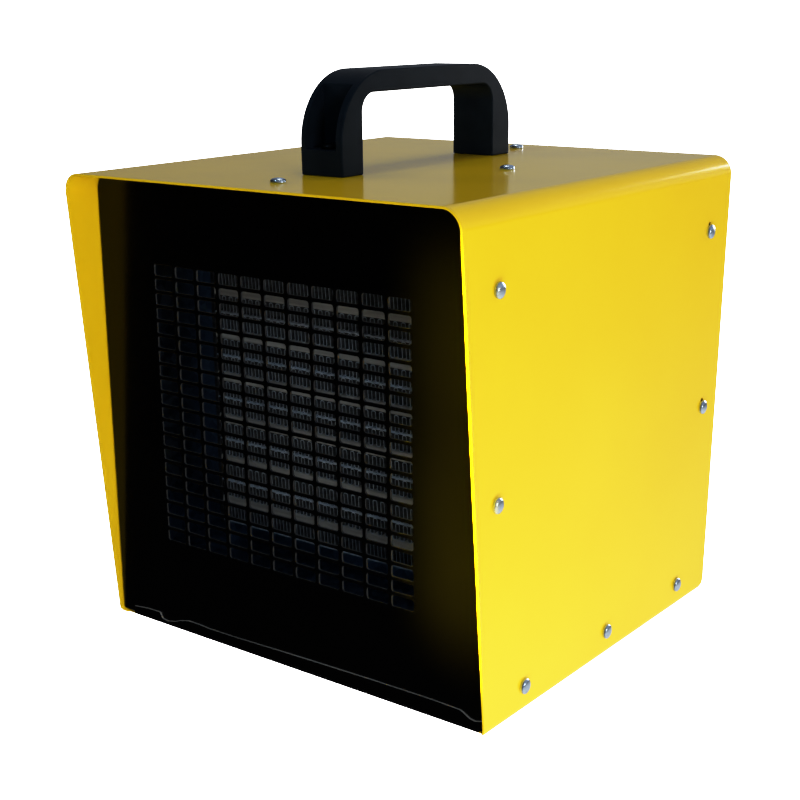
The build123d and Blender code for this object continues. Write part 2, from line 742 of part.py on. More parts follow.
def terminal_block():
    """A moulded block on the tray, with a square well for each wire's screw."""
    width, depth, height = terminal_block_size
    x0 = shell_w / 2 - terminal_block_in[0] - width / 2
    y0 = shell_d - terminal_block_in[1] - depth / 2
    body = block(x0, x0 + width, y0, y0 + depth, tray_z, tray_z + height)
    way = width / terminal_ways
    for i in range(terminal_ways):
        well = Pos(x0 + (i + 0.5) * way, y0 + depth / 2, tray_z + height)
        body -= well * Box(terminal_well, terminal_well, 2 * terminal_well_depth)
    return body


# ---- Feet ----
def foot_places():
    from_side, from_front, from_rear = foot_in
    foot_x = shell_w / 2 - from_side
    return [(side * foot_x, y) for side in (-1, 1) for y in (from_front, shell_d - from_rear)]


def rubber_foot(x, y):
    foot = Pos(x, y, -foot_h) * extrude(RegularPolygon(foot_r, foot_sides), amount=foot_h + shell_t)
    foot -= hole_z(x, y, foot_recess_r, -foot_h - 1, foot_recess_h - foot_h)
    return foot - Location((x, y, shell_t)) * screw_hole(screw_r + screw_hole_gap, foot_h)


def foot_screw(x, y):
    """A pan head screw up through the foot, its head inside the recess."""
    seat = facing(x, y, foot_recess_h - foot_h, "-z")
    return seat * screw(screw_head_r, screw_head_h, screw_r, foot_screw_len)


# ---- Write every node ----
save("outer_shell", outer_shell())
save("front_panel", front_panel())
save("rear_panel", rear_panel())
save("base_tray", base_tray())
save("handle", handle())
handle_screws, handle_nuts = handle_fixings()
save("handle_screws", *handle_screws)
save("handle_nuts", *handle_nuts)
case_screw = screw(screw_head_r, screw_head_h, screw_r, screw_len)
save("side_screws", *[spot * case_screw for spot in side_spots])
save("top_screws", *[spot * case_screw for spot in top_spots])

tubes, fins, plates = element_pieces()
save("element_tubes", *tubes)
save("element_fins", *fins)
save("element_plates", *plates)
save("element_rails", *element_rails())
save("element_terminals", *element_terminals())
save("element_baffle", element_baffle())
save("air_duct", air_duct())
save("thermal_cutout", thermal_cutout())

save("fan_plate", fan_plate())
save("motor_strap", motor_strap())
save("motor_front_bracket", motor_bracket(bracket_y))
save("motor_rear_bracket", motor_bracket(rear_bracket_y))
save("motor_bearings", bearing(bracket_y), bearing(rear_bracket_y))
save("motor_stack", motor_stack())
save("motor_coil", motor_coil())
save("motor_screws", *motor_screws())
save("motor_rotor", motor_rotor())
save("motor_shaft", rod_y(0, fan_z, shaft_r, shaft_y0, motor_end_y + 2))
save("fan_impeller", fan_impeller())
save("fan_nut", fan_nut())

save("power_switch", control_body(-control_x, switch_size))
save("thermostat", control_body(control_x, thermostat_size))
save("control_nuts", control_nut(-control_x), control_nut(control_x))
save("switch_spindle", control_spindle(-control_x))
save("switch_knob", control_knob(-control_x))
save("thermostat_spindle", control_spindle(control_x))
save("thermostat_knob", control_knob(control_x))
save("cable_gland", cable_gland())
save("gland_nut", gland_nut())
save("terminal_block", terminal_block())
save("rubber_feet", *[rubber_foot(x, y) for x, y in foot_places()])
save("foot_screws", *[foot_screw(x, y) for x, y in foot_places()])
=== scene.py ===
# %% [markdown]
# # A portable forced air heater
#
# This lesson dresses a folded yellow steel heater for a studio picture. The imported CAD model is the
# frame: every length is in metres, and every new piece is placed from the boxes of the CAD nodes.
# The sheets, screws, fins and handle are then rebuilt with the detail that a camera sees.

from math import atan2, cos, pi, radians, sin, tan

import bmesh
import bpy
from mathutils import Matrix, Vector


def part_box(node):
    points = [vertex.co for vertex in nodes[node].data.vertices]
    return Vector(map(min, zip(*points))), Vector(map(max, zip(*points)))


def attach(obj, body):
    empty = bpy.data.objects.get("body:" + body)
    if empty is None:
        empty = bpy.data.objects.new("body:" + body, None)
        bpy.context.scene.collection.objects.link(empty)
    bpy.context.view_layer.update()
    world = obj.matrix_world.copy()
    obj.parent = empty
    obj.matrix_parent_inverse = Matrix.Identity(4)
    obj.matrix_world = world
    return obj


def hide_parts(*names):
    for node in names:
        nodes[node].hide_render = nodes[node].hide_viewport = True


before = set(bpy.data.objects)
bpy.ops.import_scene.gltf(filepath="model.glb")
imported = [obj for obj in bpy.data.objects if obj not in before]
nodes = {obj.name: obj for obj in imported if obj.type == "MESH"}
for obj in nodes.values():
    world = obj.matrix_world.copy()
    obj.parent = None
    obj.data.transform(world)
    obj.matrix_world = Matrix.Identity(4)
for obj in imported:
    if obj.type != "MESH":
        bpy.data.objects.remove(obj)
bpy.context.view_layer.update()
MM = 0.001

# %% [markdown]
# The heater is seen from its front right, a little from above. Lining up the case's corners, the screws
# and the handle with the photograph gave the camera's place, its three angles and its lens.

# %% The camera
scene = bpy.context.scene
camera_place = Vector((0.47025, -0.6185, 0.33625))
yaw, pitch, roll = radians(37.683), radians(-15.123), radians(-0.592)
sensor_width = 36.0
focal_pixels, picture_pixels = 1442.254, 800.0

forward = Vector((-sin(yaw) * cos(pitch), cos(yaw) * cos(pitch), sin(pitch)))
level_right = forward.cross(Vector((0, 0, 1))).normalized()
level_up = level_right.cross(forward)
right = cos(roll) * level_right + sin(roll) * level_up
up = cos(roll) * level_up - sin(roll) * level_right
camera_axes = Matrix((right, up, -forward)).transposed().to_4x4()
camera = bpy.data.objects.new("camera", bpy.data.cameras.new("camera"))
camera.matrix_world = Matrix.Translation(camera_place) @ camera_axes
camera.data.sensor_width = sensor_width
camera.data.lens = focal_pixels / picture_pixels * sensor_width
scene.collection.objects.link(camera)
scene.camera = camera
print("lens", round(camera.data.lens, 1), "mm, distance", round(camera_place.length, 3), "m")

# %% [markdown]
# Every finish starts from one shader and a few patterns in the object's own metres. A pattern's scale then
# says how many of its marks fit in a metre, so grain keeps its real size on every piece.

# %% Tools for finishes
def add_node(tree, kind, inputs, **settings):
    """Adds a shader node, with its inputs linked or set."""
    node = tree.nodes.new("ShaderNode" + kind)
    for name, value in settings.items():
        setattr(node, name, value)
    for socket, value in inputs.items():
        if isinstance(value, bpy.types.NodeSocket):
            tree.links.new(value, node.inputs[socket])
        else:
            node.inputs[socket].default_value = value
    return node


def surface(name, colour, roughness, metallic=0.0, specular=0.5):
    """A new finish: its material, its node tree and its shader."""
    material = bpy.data.materials.new(name)
    material.use_nodes = True
    shader = material.node_tree.nodes["Principled BSDF"]
    shader.inputs["Base Color"].default_value = (*colour, 1)
    shader.inputs["Roughness"].default_value = roughness
    shader.inputs["Metallic"].default_value = metallic
    shader.inputs["Specular IOR Level"].default_value = specular
    return material, material.node_tree, shader


def pattern(finish, kind, scale, stretch=(1, 1, 1), output=0, **settings):
    """A procedural pattern, such as Noise or Voronoi, laid out in metres."""
    tree = finish[1]
    place = add_node(tree, "TexCoord", {}).outputs["Object"]
    fitted = add_node(tree, "Mapping", {"Vector": place, "Scale": stretch}).outputs["Vector"]
    return add_node(tree, "Tex" + kind, {"Vector": fitted, "Scale": scale, **settings}).outputs[output]


def noises(finish, *grains):
    """Noise patterns, each given by its scale and its detail."""
    return [pattern(finish, "Noise", scale, Detail=detail) for scale, detail in grains]


def textured(finish, marks, colours, gloss, relief, ends=(0.3, 0.7)):
    """Lets three patterns run a finish's colour, its roughness and its relief."""
    material, tree, shader = finish
    ramp = add_node(tree, "ValToRGB", {"Fac": marks[0]})
    for stop, place, colour in zip(ramp.color_ramp.elements, ends, colours):
        stop.position, stop.color = place, (*colour, 1)
    spread = add_node(tree, "MapRange", {"Value": marks[1], "To Min": gloss[0], "To Max": gloss[1]})
    bump = add_node(tree, "Bump", {"Height": marks[2], "Distance": relief, "Strength": 1.0})
    tree.links.new(ramp.outputs["Color"], shader.inputs["Base Color"])
    tree.links.new(spread.outputs["Result"], shader.inputs["Roughness"])
    tree.links.new(bump.outputs["Normal"], shader.inputs["Normal"])
    return material


print("finish tools ready")

# %% [markdown]
# The picture's ground is plain white. A pale floor that glows like a light table gives that, and so does a
# pale dome far behind it. Neither takes part in reflections or bounced light, because the real heater stood
# in duller surroundings: its top mirrors a grey sky, and its black front next to nothing.

# %% The floor and the backdrop
FLOOR_SIZE, DOME_R, STAGE_GLOW = 40.0, 19.0, 4.0


def new_mesh(points, faces):
    mesh = bpy.data.meshes.new("sheet")
    mesh.from_pydata([tuple(p) for p in points], [], faces)
    mesh.validate()
    return mesh


def mesh_from(work, name):
    """The mesh from a bmesh workbench, which is then cleared."""
    mesh = bpy.data.meshes.new(name)
    work.to_mesh(mesh)
    work.free()
    return mesh


def dome(radius):
    work = bmesh.new()
    bmesh.ops.create_uvsphere(work, u_segments=48, v_segments=24, radius=radius)
    return mesh_from(work, "dome")


half = FLOOR_SIZE / 2
ground = new_mesh([(-half, -half, 0), (half, -half, 0), (half, half, 0), (-half, half, 0)], [(0, 1, 2, 3)])
stage_finish, _, stage_shader = surface("pale_stage", (0.80, 0.80, 0.80), 0.9, specular=0.0)
stage_shader.inputs["Emission Color"].default_value = (1, 1, 1, 1)
stage_shader.inputs["Emission Strength"].default_value = STAGE_GLOW
for name, mesh in (("floor", ground), ("backdrop", dome(DOME_R))):
    backing = bpy.data.objects.new(name, mesh)
    mesh.materials.append(stage_finish)
    backing.visible_diffuse = backing.visible_glossy = backing.visible_shadow = False
    scene.collection.objects.link(backing)
print("floor", FLOOR_SIZE, "m across")

# %% [markdown]
# The world is then free to be what the paint mirrors and what fills the shadows: pale ground below, a dark
# band under the horizon, and a dull blue-grey above. It fades towards the front left, which the black
# front mirrors, so that the front stays black.

# %% The world
# Each tone stands at a height, from -1 straight below to 1 straight above.
WORLD_STOPS = [
    (-0.45, (0.74, 0.74, 0.74)), (-0.28, (0.52, 0.52, 0.52)), (-0.12, (0.12, 0.12, 0.13)),
    (0.00, (0.09, 0.09, 0.10)), (0.02, (0.33, 0.36, 0.41)), (0.35, (0.27, 0.30, 0.35)),
    (1.00, (0.26, 0.28, 0.31)),
]
BRIGHT_SIDE, DARK_SHARE = (0.62, 0.78, 0.0), 0.03
FADE_START, FADE_END = -0.5, 0.35
world = bpy.data.worlds.new("studio")
scene.world = world
world.use_nodes = True
sky = world.node_tree
direction = sky.nodes.new("ShaderNodeTexCoord").outputs["Generated"]
height = add_node(sky, "SeparateXYZ", {0: direction}).outputs["Z"]
rise = add_node(sky, "MapRange", {"Value": height, "From Min": -1.0, "From Max": 1.0})
tones = add_node(sky, "ValToRGB", {"Fac": rise.outputs["Result"]})
while len(tones.color_ramp.elements) < len(WORLD_STOPS):
    tones.color_ramp.elements.new(0.5)
for stop, (place, colour) in zip(tones.color_ramp.elements, WORLD_STOPS):
    stop.position, stop.color = 0.5 + place / 2, (*colour, 1)
facing = add_node(sky, "VectorMath", {0: direction, 1: BRIGHT_SIDE}, operation="DOT_PRODUCT")
fade = {"From Min": FADE_START, "From Max": FADE_END, "To Min": DARK_SHARE, "To Max": 1.0}
share = add_node(sky, "MapRange", {"Value": facing.outputs["Value"], **fade}).outputs["Result"]
sky.links.new(tones.outputs["Color"], sky.nodes["Background"].inputs["Color"])
sky.links.new(share, sky.nodes["Background"].inputs["Strength"])
print("world of", len(WORLD_STOPS), "tones")

# %% [markdown]
# Film bends at both ends, and the yellow shows it. Where the side is brightest its red is held back, so
# the paint turns towards lemon, and where the top is dull its green falls first, so it turns towards
# ochre. A curve over the picture's light does the same.

# %% The film's toe and shoulder
FILM_WHITE = 1.5
FILM_POINTS = [
    (0.05, 0.026), (0.10, 0.060), (0.20, 0.143), (0.30, 0.250), (0.40, 0.368), (0.50, 0.485),
    (0.60, 0.600), (0.72, 0.725), (0.86, 0.830), (1.08, 0.930), (1.20, 0.955),
]
view = scene.view_settings
view.view_transform, view.use_curve_mapping = "Standard", True
film = view.curve_mapping
film.white_level = (FILM_WHITE, FILM_WHITE, FILM_WHITE)
all_colours = film.curves[3]
for light, shown in FILM_POINTS:
    all_colours.points.new(light / FILM_WHITE, shown)
for point in all_colours.points:
    point.handle_type = "VECTOR"
film.update()
print("film points", [tuple(round(v, 3) for v in point.location) for point in all_colours.points])

# %% [markdown]
# The key light is a soft box at the heater's right, so the side is bright, the top is dull and some light
# slants through the left slots. A second one there catches the edges. Two lamps in the ground act as
# sunlit paving, two overhead light the top, a small blue one picks out the fins, and two fills keep the
# far sides from going dark. Paint would show a near lamp as a pale square, so some light it without being
# mirrored. A narrow yellow beam stands for the light that the yellow wall throws on the panel's right
# margin.

# %% The lamps
def soft_box(name, place, target, width, power, mirrored=True, colour=(1, 1, 1), height=None, spread=180):
    """An area lamp aimed at a point, square unless it has a height."""
    light = bpy.data.lights.new(name, "AREA")
    light.shape, light.size, light.size_y = "RECTANGLE", width, height or width
    light.energy, light.color, light.spread = power, colour, radians(spread)
    lamp = bpy.data.objects.new(name, light)
    aim = (Vector(target) - Vector(place)).to_track_quat("-Z", "Y")
    lamp.matrix_world = Matrix.LocRotScale(Vector(place), aim, None)
    lamp.visible_camera, lamp.visible_glossy = False, mirrored
    scene.collection.objects.link(lamp)
    print(name, power, "W")


GROUND_LIGHT, BLUE_SKY, OFF_YELLOW = (1, 0.93, 0.74), (0.55, 0.80, 1.0), (1.0, 0.72, 0.02)
soft_box("key", (1.90, -0.95, 0.46), (0.05, 0, 0.10), 0.65, 18.8, mirrored=False)
soft_box("edge_light", (2.0, 0.25, 0.22), (0.126, 0, 0.15), 0.35, 3.0)
soft_box("side_ground", (0.40, -0.05, -0.10), (0.40, -0.05, 1), 0.45, 1.1, mirrored=False)
soft_box("front_ground", (0.25, -0.42, -0.10), (0.20, -0.40, 1), 0.4, 1.8, False, GROUND_LIGHT)
soft_box("overhead", (0.10, 0.2, 1.6), (0, 0, 0.25), 0.9, 3.7, mirrored=False)
soft_box("top_light", (-0.6, 0.8, 1.8), (0, 0, 0.26), 0.35, 2.4)
soft_box("high_front", (-0.05, -1.2, 1.35), (0, 0, 0.13), 0.12, 4.2, colour=BLUE_SKY)
soft_box("left_fill", (-1.4, -0.5, 0.4), (-0.126, 0, 0.12), 0.8, 12, mirrored=False)
soft_box("rear_fill", (0.3, 1.7, 0.45), (0, 0.13, 0.12), 0.7, 12)
soft_box("right_glow", (0.112, -0.25, 0.1395), (0.112, 0, 0.1395), 0.020, 1.6, False, OFF_YELLOW, 0.167, 30)

# %% [markdown]
# The case is powder coated. Baked powder never lies quite flat: it has a fine orange peel, about a
# millimetre from crest to crest, and its gloss varies slightly where hands have been. The panels and tray
# have the same coat in black. The slots' walls get a rougher, lighter grey copy of it, a painted highlight
# that draws them as lit lines, and the lip's sheared edge gets a pale grey: it is nearly bare, and the grey
# is also a painted highlight.

# %% Powder coats
def powder_coat(name, low, high, gloss, specular, peel=0.012 * MM):
    coat = surface(name, high, gloss[0], specular=specular)
    return textured(coat, noises(coat, (9, 3), (22, 4), (900, 1.5)), (low, high), gloss, peel)


yellow_coat = powder_coat("yellow_coat", (0.84, 0.555, 0.011), (0.88, 0.59, 0.015), (0.12, 0.18), 0.5)
black_coat = powder_coat("black_coat", (0.0003, 0.0003, 0.0004), (0.0006, 0.0006, 0.0007), (0.16, 0.24), 0.24)
# A rougher, lighter grey copy of the black coat for the slot walls: a painted highlight.
slot_wall_highlight = powder_coat("slot_wall_highlight", (0.025, 0.027, 0.030), (0.050, 0.052, 0.056), (0.3, 0.45), 0.4)
# A pale grey for the lip's sheared edge: nearly bare steel, and a painted highlight that draws it as a lit
# line.
bare_edge_and_highlight = powder_coat("bare_edge_and_highlight", (0.10, 0.10, 0.10), (0.30, 0.30, 0.29), (0.35, 0.5), 0.5)
print("powder coats ready")

# %% [markdown]
# The handle and knobs are moulded in black plastic with a fine spark-eroded texture, which spreads their
# highlights. The handle's black is cold, so its highlights are tinted blue. Screws are zinc plated:
# bright, a little blue, and faintly mottled.

# %% Plastics and plated steel
def moulded(name, low, high, roughness, specular=0.4, grain=1400.0, tint=(1, 1, 1), depth=0.03 * MM):
    plastic = surface(name, high, roughness, specular=specular)
    plastic[2].inputs["Specular Tint"].default_value = (*tint, 1)
    marks = noises(plastic, (60, 3), (300, 2), (grain, 2))
    return textured(plastic, marks, (low, high), (roughness - 0.05, roughness + 0.07), depth)


def plated(name, low, high, gloss, metallic=1.0, depth=0.01 * MM):
    plate = surface(name, high, gloss[0], metallic)
    return textured(plate, noises(plate, (220, 4), (660, 3), (1100, 2)), (low, high), gloss, depth)


handle_plastic = moulded(
    "handle_plastic", (0.0050, 0.0082, 0.0135), (0.0078, 0.0125, 0.0195), 0.38, 0.08, tint=(0.72, 0.86, 1.0)
)
knob_plastic = moulded("knob_plastic", (0.008, 0.008, 0.009), (0.014, 0.014, 0.016), 0.38)
nylon = moulded("nylon", (0.010, 0.010, 0.011), (0.018, 0.018, 0.019), 0.5, grain=800.0)
white_block = moulded("white_block", (0.70, 0.69, 0.64), (0.78, 0.77, 0.72), 0.5)
foot_rubber = moulded("foot_rubber", (0.006, 0.006, 0.006), (0.014, 0.014, 0.014), 0.75, 0.25, 500.0)
zinc = plated("zinc", (0.48, 0.58, 0.70), (0.68, 0.79, 0.92), (0.20, 0.30), metallic=0.95)
blackened = plated("blackened", (0.010, 0.011, 0.013), (0.022, 0.023, 0.026), (0.35, 0.5))
bronze = plated("bronze", (0.42, 0.27, 0.12), (0.58, 0.40, 0.20), (0.35, 0.5))
brass = plated("brass", (0.62, 0.45, 0.18), (0.80, 0.62, 0.30), (0.25, 0.4))
print("plastics and plated steel ready")

# %% [markdown]
# Sheet aluminium carries the lines of its rolling, so its noise is stretched along the piece. Galvanised
# sheet shows spangle instead: frosty zinc crystals a few millimetres wide, each a slightly different grey.

# %% Bare metals
ACROSS, BACK = (0.04, 1, 1), (1, 0.04, 1)


def rolled(name, low, high, gloss, along, metallic=1.0, depth=0.015 * MM):
    sheet = surface(name, high, gloss[0], metallic)
    lines = pattern(sheet, "Noise", 500, stretch=along, Detail=3)
    return textured(sheet, (lines, lines, lines), (low, high), gloss, depth)


def spangled(name, low, high, gloss, crystals=170.0, depth=0.01 * MM):
    sheet = surface(name, high, gloss[0], metallic=1.0)
    crystal = pattern(sheet, "Voronoi", crystals, output="Color")
    marks = (crystal, crystal, *noises(sheet, (600, 2)))
    return textured(sheet, marks, (low, high), gloss, depth, (0.2, 0.8))


tube_aluminium = rolled("tube_aluminium", (0.38, 0.39, 0.39), (0.58, 0.59, 0.58), (0.32, 0.5), ACROSS, 0.5)
rail_aluminium = rolled("rail_aluminium", (0.10, 0.10, 0.11), (0.20, 0.20, 0.21), (0.4, 0.55), BACK)
fin_aluminium = rolled("fin_aluminium", (0.33, 0.40, 0.49), (0.52, 0.60, 0.71), (0.35, 0.5), BACK, 0.4)
# A dark copy of the fin aluminium for the fins' broad sides: painted shade, for the shadow between the fins.
fin_side_shade = rolled("fin_side_shade", (0.06, 0.07, 0.08), (0.12, 0.13, 0.15), (0.35, 0.5), BACK, 0.6)
fan_aluminium = rolled("fan_aluminium", (0.45, 0.46, 0.48), (0.65, 0.66, 0.68), (0.3, 0.45), BACK)
ground_steel = rolled("ground_steel", (0.40, 0.41, 0.42), (0.62, 0.63, 0.64), (0.2, 0.35), ACROSS)
galvanised = spangled("galvanised", (0.15, 0.21, 0.30), (0.28, 0.37, 0.49), (0.30, 0.46))
print("bare metals ready")

# %% [markdown]
# The motor's core is a stack of thin stampings, and its coil is wound copper. Both are really many layers,
# so a wave pattern across them draws the laminations and the wires.

# %% Motor finishes
def layered(name, low, high, roughness, per_metre, axis, depth=0.08 * MM):
    stack = surface(name, high, roughness, metallic=1.0)
    layers = pattern(stack, "Wave", per_metre / 2, Distortion=0.3)
    layers.node.bands_direction = axis
    marks = (layers, *noises(stack, (300, 2)), layers)
    return textured(stack, marks, (low, high), (roughness - 0.05, roughness + 0.1), depth, (0.1, 0.6))


core_steel = layered("core_steel", (0.10, 0.10, 0.11), (0.34, 0.35, 0.37), 0.45, 600.0, "Y")
coil_wire = layered("coil_wire", (0.20, 0.06, 0.02), (0.55, 0.22, 0.08), 0.35, 900.0, "X")
print("motor finishes ready")

# %% [markdown]
# Each dressed piece is one mesh with one finish, and the cut edges of a sheet may have a second one. It
# rides on the body that carries it in the CAD model, and a CAD node that it stands for is hidden.

# %% Placing a piece
CUT_EDGE_FACING = 0.8


def piece(name, mesh, finish, slot, *stands_for, body="case"):
    """Puts a mesh in the scene with its finish and its body."""
    mesh.name = name
    thing = bpy.data.objects.new(name, mesh)
    scene.collection.objects.link(thing)
    mesh.materials.clear()
    mesh.materials.append(finish)
    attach(thing, body)
    if stands_for:
        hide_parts(*stands_for)
    print(name, len(mesh.polygons), "faces")
    return thing


def painted_light_finish(thing, finish, low, high):
    """Gives the faces between two corners that don't face along y a second finish, for painted light or
    shade.
    """
    thing.data.materials.append(finish)
    marked = 0
    for face in thing.data.polygons:
        inside = all(low[i] <= face.center[i] <= high[i] for i in range(3))
        if inside and abs(face.normal.y) < CUT_EDGE_FACING:
            face.material_index = 1
            marked += 1
    print(thing.name, marked, "faces on cut edges")


def worked(source, kind=None, **settings):
    """A mesh or curve as a mesh, after one modifier if there is any."""
    bench = bpy.data.objects.new("bench", source)
    scene.collection.objects.link(bench)
    if kind:
        modifier = bench.modifiers.new(kind.lower(), kind)
        for name, value in settings.items():
            setattr(modifier, name, value)
    ready = bench.evaluated_get(bpy.context.evaluated_depsgraph_get())
    done = bpy.data.meshes.new_from_object(ready)
    bpy.data.objects.remove(bench)
    return done


def joined(*meshes):
    """Several meshes in one."""
    work = bmesh.new()
    for mesh in meshes:
        work.from_mesh(mesh)
    return mesh_from(work, "joined")


def moved(mesh, place):
    """A copy of a mesh, moved by a matrix."""
    copy = mesh.copy()
    copy.transform(place)
    return copy


def smooth(mesh, sharp):
    """Smooth shading that stays crisp at edges sharper than an angle."""
    mesh.shade_smooth()
    mesh.set_sharp_from_angle(angle=radians(sharp))
    return mesh


print("piece tools ready")

# %% [markdown]
# Folded and moulded parts start from outlines whose corners are rounded. One helper takes each corner with
# its radius, whether it points out or in. An arc is divided finely, because glossy paint shows every flat.

# %% Outlines
ARC_STEPS = 12
QUARTER_TURN = [radians(15 * step) for step in range(7)]


def filleted(corners, steps=ARC_STEPS):
    """A closed outline from corners of (across, up, radius)."""
    points = []
    for i, (across, up_to, radius) in enumerate(corners):
        here = Vector((across, up_to))
        if radius == 0:
            points.append(here)
            continue
        back = (Vector(corners[i - 1][:2]) - here).normalized()
        onward = (Vector(corners[(i + 1) % len(corners)][:2]) - here).normalized()
        half = back.angle(onward) / 2
        centre = here + (back + onward).normalized() * radius / sin(half)
        first = here + back * radius / tan(half) - centre
        last = here + onward * radius / tan(half) - centre
        turn = atan2(first.x * last.y - first.y * last.x, first.dot(last))
        points += [centre + Matrix.Rotation(turn * s / steps, 2) @ first for s in range(steps + 1)]
    return points


def rectangle(x0, x1, z0, z1, radius=0, steps=ARC_STEPS, top=None):
    """A rectangle's outline, whose two top corners may have a radius of their own."""
    top = radius if top is None else top
    return filleted([(x0, z0, radius), (x1, z0, radius), (x1, z1, top), (x0, z1, top)], steps)


print(len(rectangle(0, 1, 0, 1, 0.1)), "points round a rounded rectangle")

# %% [markdown]
# A few ways of giving an outline depth cover most of the heater. A prism runs along the x axis, and a
# ribbon is a bare line carried along the y axis. A punched sheet stands across the y axis, its rims
# rounded as a press leaves them, and a turned piece spins a profile round the z axis. Solids are then cut
# out of each other, and sharp edges eased.

# %% Depth
WELD_GAP = 0.005 * MM


def prism(outline, x0, x1):
    """An outline in y and z, carried from x0 to x1."""
    count = len(outline)
    points = [(x, y, z) for x in (x0, x1) for y, z in outline]
    faces = [(i, (i + 1) % count, count + (i + 1) % count, count + i) for i in range(count)]
    faces += [tuple(reversed(range(count))), tuple(range(count, 2 * count))]
    return new_mesh(points, faces)


def block(x0, x1, y0, y1, z0, z1, radius=0, steps=ARC_STEPS):
    """A bar along the x axis, square unless it has a radius."""
    return prism(rectangle(y0, y1, z0, z1, radius, steps), x0, x1)


def ribbon(line, y0, y1):
    """A line in x and z, carried from y0 to y1 as a sheet without thickness."""
    points = [(x, y, z) for x, z in line for y in (y0, y1)]
    faces = [(i, i + 1, i + 3, i + 2) for i in range(0, len(points) - 2, 2)]
    return new_mesh(points, faces)


def punched_sheet(outline, holes, y0, y1, edge):
    """A flat sheet from y0 to y1 with holes in it and rims rounded by edge."""
    curve = bpy.data.curves.new("outline", "CURVE")
    curve.dimensions, curve.fill_mode = "2D", "BOTH"
    curve.extrude, curve.bevel_depth, curve.bevel_resolution = (y1 - y0) / 2 - edge, edge, 1
    curve.offset = -edge
    for points in (outline, *[list(reversed(hole)) for hole in holes]):
        spline = curve.splines.new("POLY")
        spline.points.add(len(points) - 1)
        spline.points.foreach_set("co", [value for x, z in points for value in (x, z, 0, 1)])
        spline.use_cyclic_u = True
    mesh = worked(curve)
    mesh.transform(Matrix.Translation((0, (y0 + y1) / 2, 0)) @ Matrix.Rotation(pi / 2, 4, "X"))
    return mesh


def faces_round(count, row, across):
    """The faces between rows of points that stand in a ring."""
    faces = []
    for i in range(count):
        after = (i + 1) % count
        for j in range(across):
            k = (j + 1) % row
            faces.append((i * row + j, after * row + j, after * row + k, i * row + k))
    return faces


def turned(profile, steps=48, flutes=0, flute_depth=0.0):
    """A profile of (radius, height) spun round z, with flutes where its third value is 1."""
    points = []
    for step in range(steps):
        turn = 2 * pi * step / steps
        wave = flute_depth * (0.5 - 0.5 * cos(flutes * turn)) if flutes else 0
        for radius, height, *cut in profile:
            here = radius - wave * (cut[0] if cut else 0)
            points.append((here * cos(turn), here * sin(turn), height))
    work = bmesh.new()
    work.from_mesh(new_mesh(points, faces_round(steps, len(profile), len(profile) - 1)))
    bmesh.ops.remove_doubles(work, verts=work.verts, dist=WELD_GAP)
    bmesh.ops.recalc_face_normals(work, faces=work.faces)
    return mesh_from(work, "turned")


def cut(mesh, *tools):
    """A mesh with other solids cut out of it."""
    cutter = bpy.data.objects.new("cutter", joined(*tools))
    scene.collection.objects.link(cutter)
    done = worked(mesh, "BOOLEAN", object=cutter, operation="DIFFERENCE", solver="EXACT")
    bpy.data.objects.remove(cutter)
    return done


def eased(mesh, width, segments=2, angle=40):
    """A mesh with its sharp edges rounded, and shading that keeps its flats flat."""
    limit = {"limit_method": "ANGLE", "angle_limit": radians(angle)}
    rounded = worked(mesh, "BEVEL", width=width, segments=segments, **limit)
    return worked(smooth(rounded, 60), "WEIGHTED_NORMAL", keep_sharp=True)


print("depth tools ready")

# %% [markdown]
# The case is one long strip of steel folded into an arch, so it is drawn the way it is made. Its outline
# is carried from the front edge to the rear one, and both edges lean in towards the base. Then the strip
# gets its thickness.

# %% The yellow wrap
shell_low, shell_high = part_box("outer_shell")
SHELL_SHEET = 1.2 * MM
TOP_BEND, FLANGE_BEND, BASE_FLANGE = 10.5 * MM, 4.5 * MM, 15 * MM
FRONT_LEAN, REAR_LEAN = 19.5 * MM, 13 * MM
FRONT_CORNER, REAR_CORNER, CORNER_STEPS = 3.5 * MM, 8.0 * MM, 5


def wrap_line():
    """The wrap's outside, from the left base flange over the top to the right one."""
    left, low, rise = shell_low.x, shell_low.z, REAR_CORNER - FLANGE_BEND
    levels = [low + FLANGE_BEND + rise * step / CORNER_STEPS for step in range(1, CORNER_STEPS + 1)]
    half = [(left + BASE_FLANGE, low, 0), (left, low, FLANGE_BEND)]
    half += [*[(left, z, 0) for z in levels], (left, shell_high.z, TOP_BEND)]
    return filleted(half + [(-x, z, radius) for x, z, radius in reversed(half)], 2 * ARC_STEPS)


def rounded_off(height, radius):
    """How far a rounded corner draws the edge in, at a height above the corner's foot."""
    below = min(max(radius - height, 0), radius)
    return radius - (radius * radius - below * below) ** 0.5


def wrap_sheet():
    """The strip between its two leaning edges, as it was before it had thickness."""
    points, faces = [], []
    for x, z in wrap_line():
        share, height = (shell_high.z - z) / (shell_high.z - shell_low.z), z - shell_low.z
        front = shell_low.y + share * FRONT_LEAN + rounded_off(height, FRONT_CORNER)
        points += [(x, front, z), (x, shell_high.y - share * REAR_LEAN - rounded_off(height, REAR_CORNER), z)]
    for i in range(0, len(points) - 2, 2):
        faces.append((i, i + 2, i + 3, i + 1))
    return new_mesh(points, faces)


wrap = worked(wrap_sheet(), "SOLIDIFY", thickness=SHELL_SHEET, offset=-1, use_even_offset=True)
print("wrap", [round(value / MM, 1) for value in (shell_high - shell_low)], "mm")

# %% [markdown]
# Two screws near each side's rear edge have a short slot above them, so that the wrap can hang on them
# before they are tightened. The slots are cut through the finished sheet, because a cut edge then gets the
# same soft rim of paint as every other one.

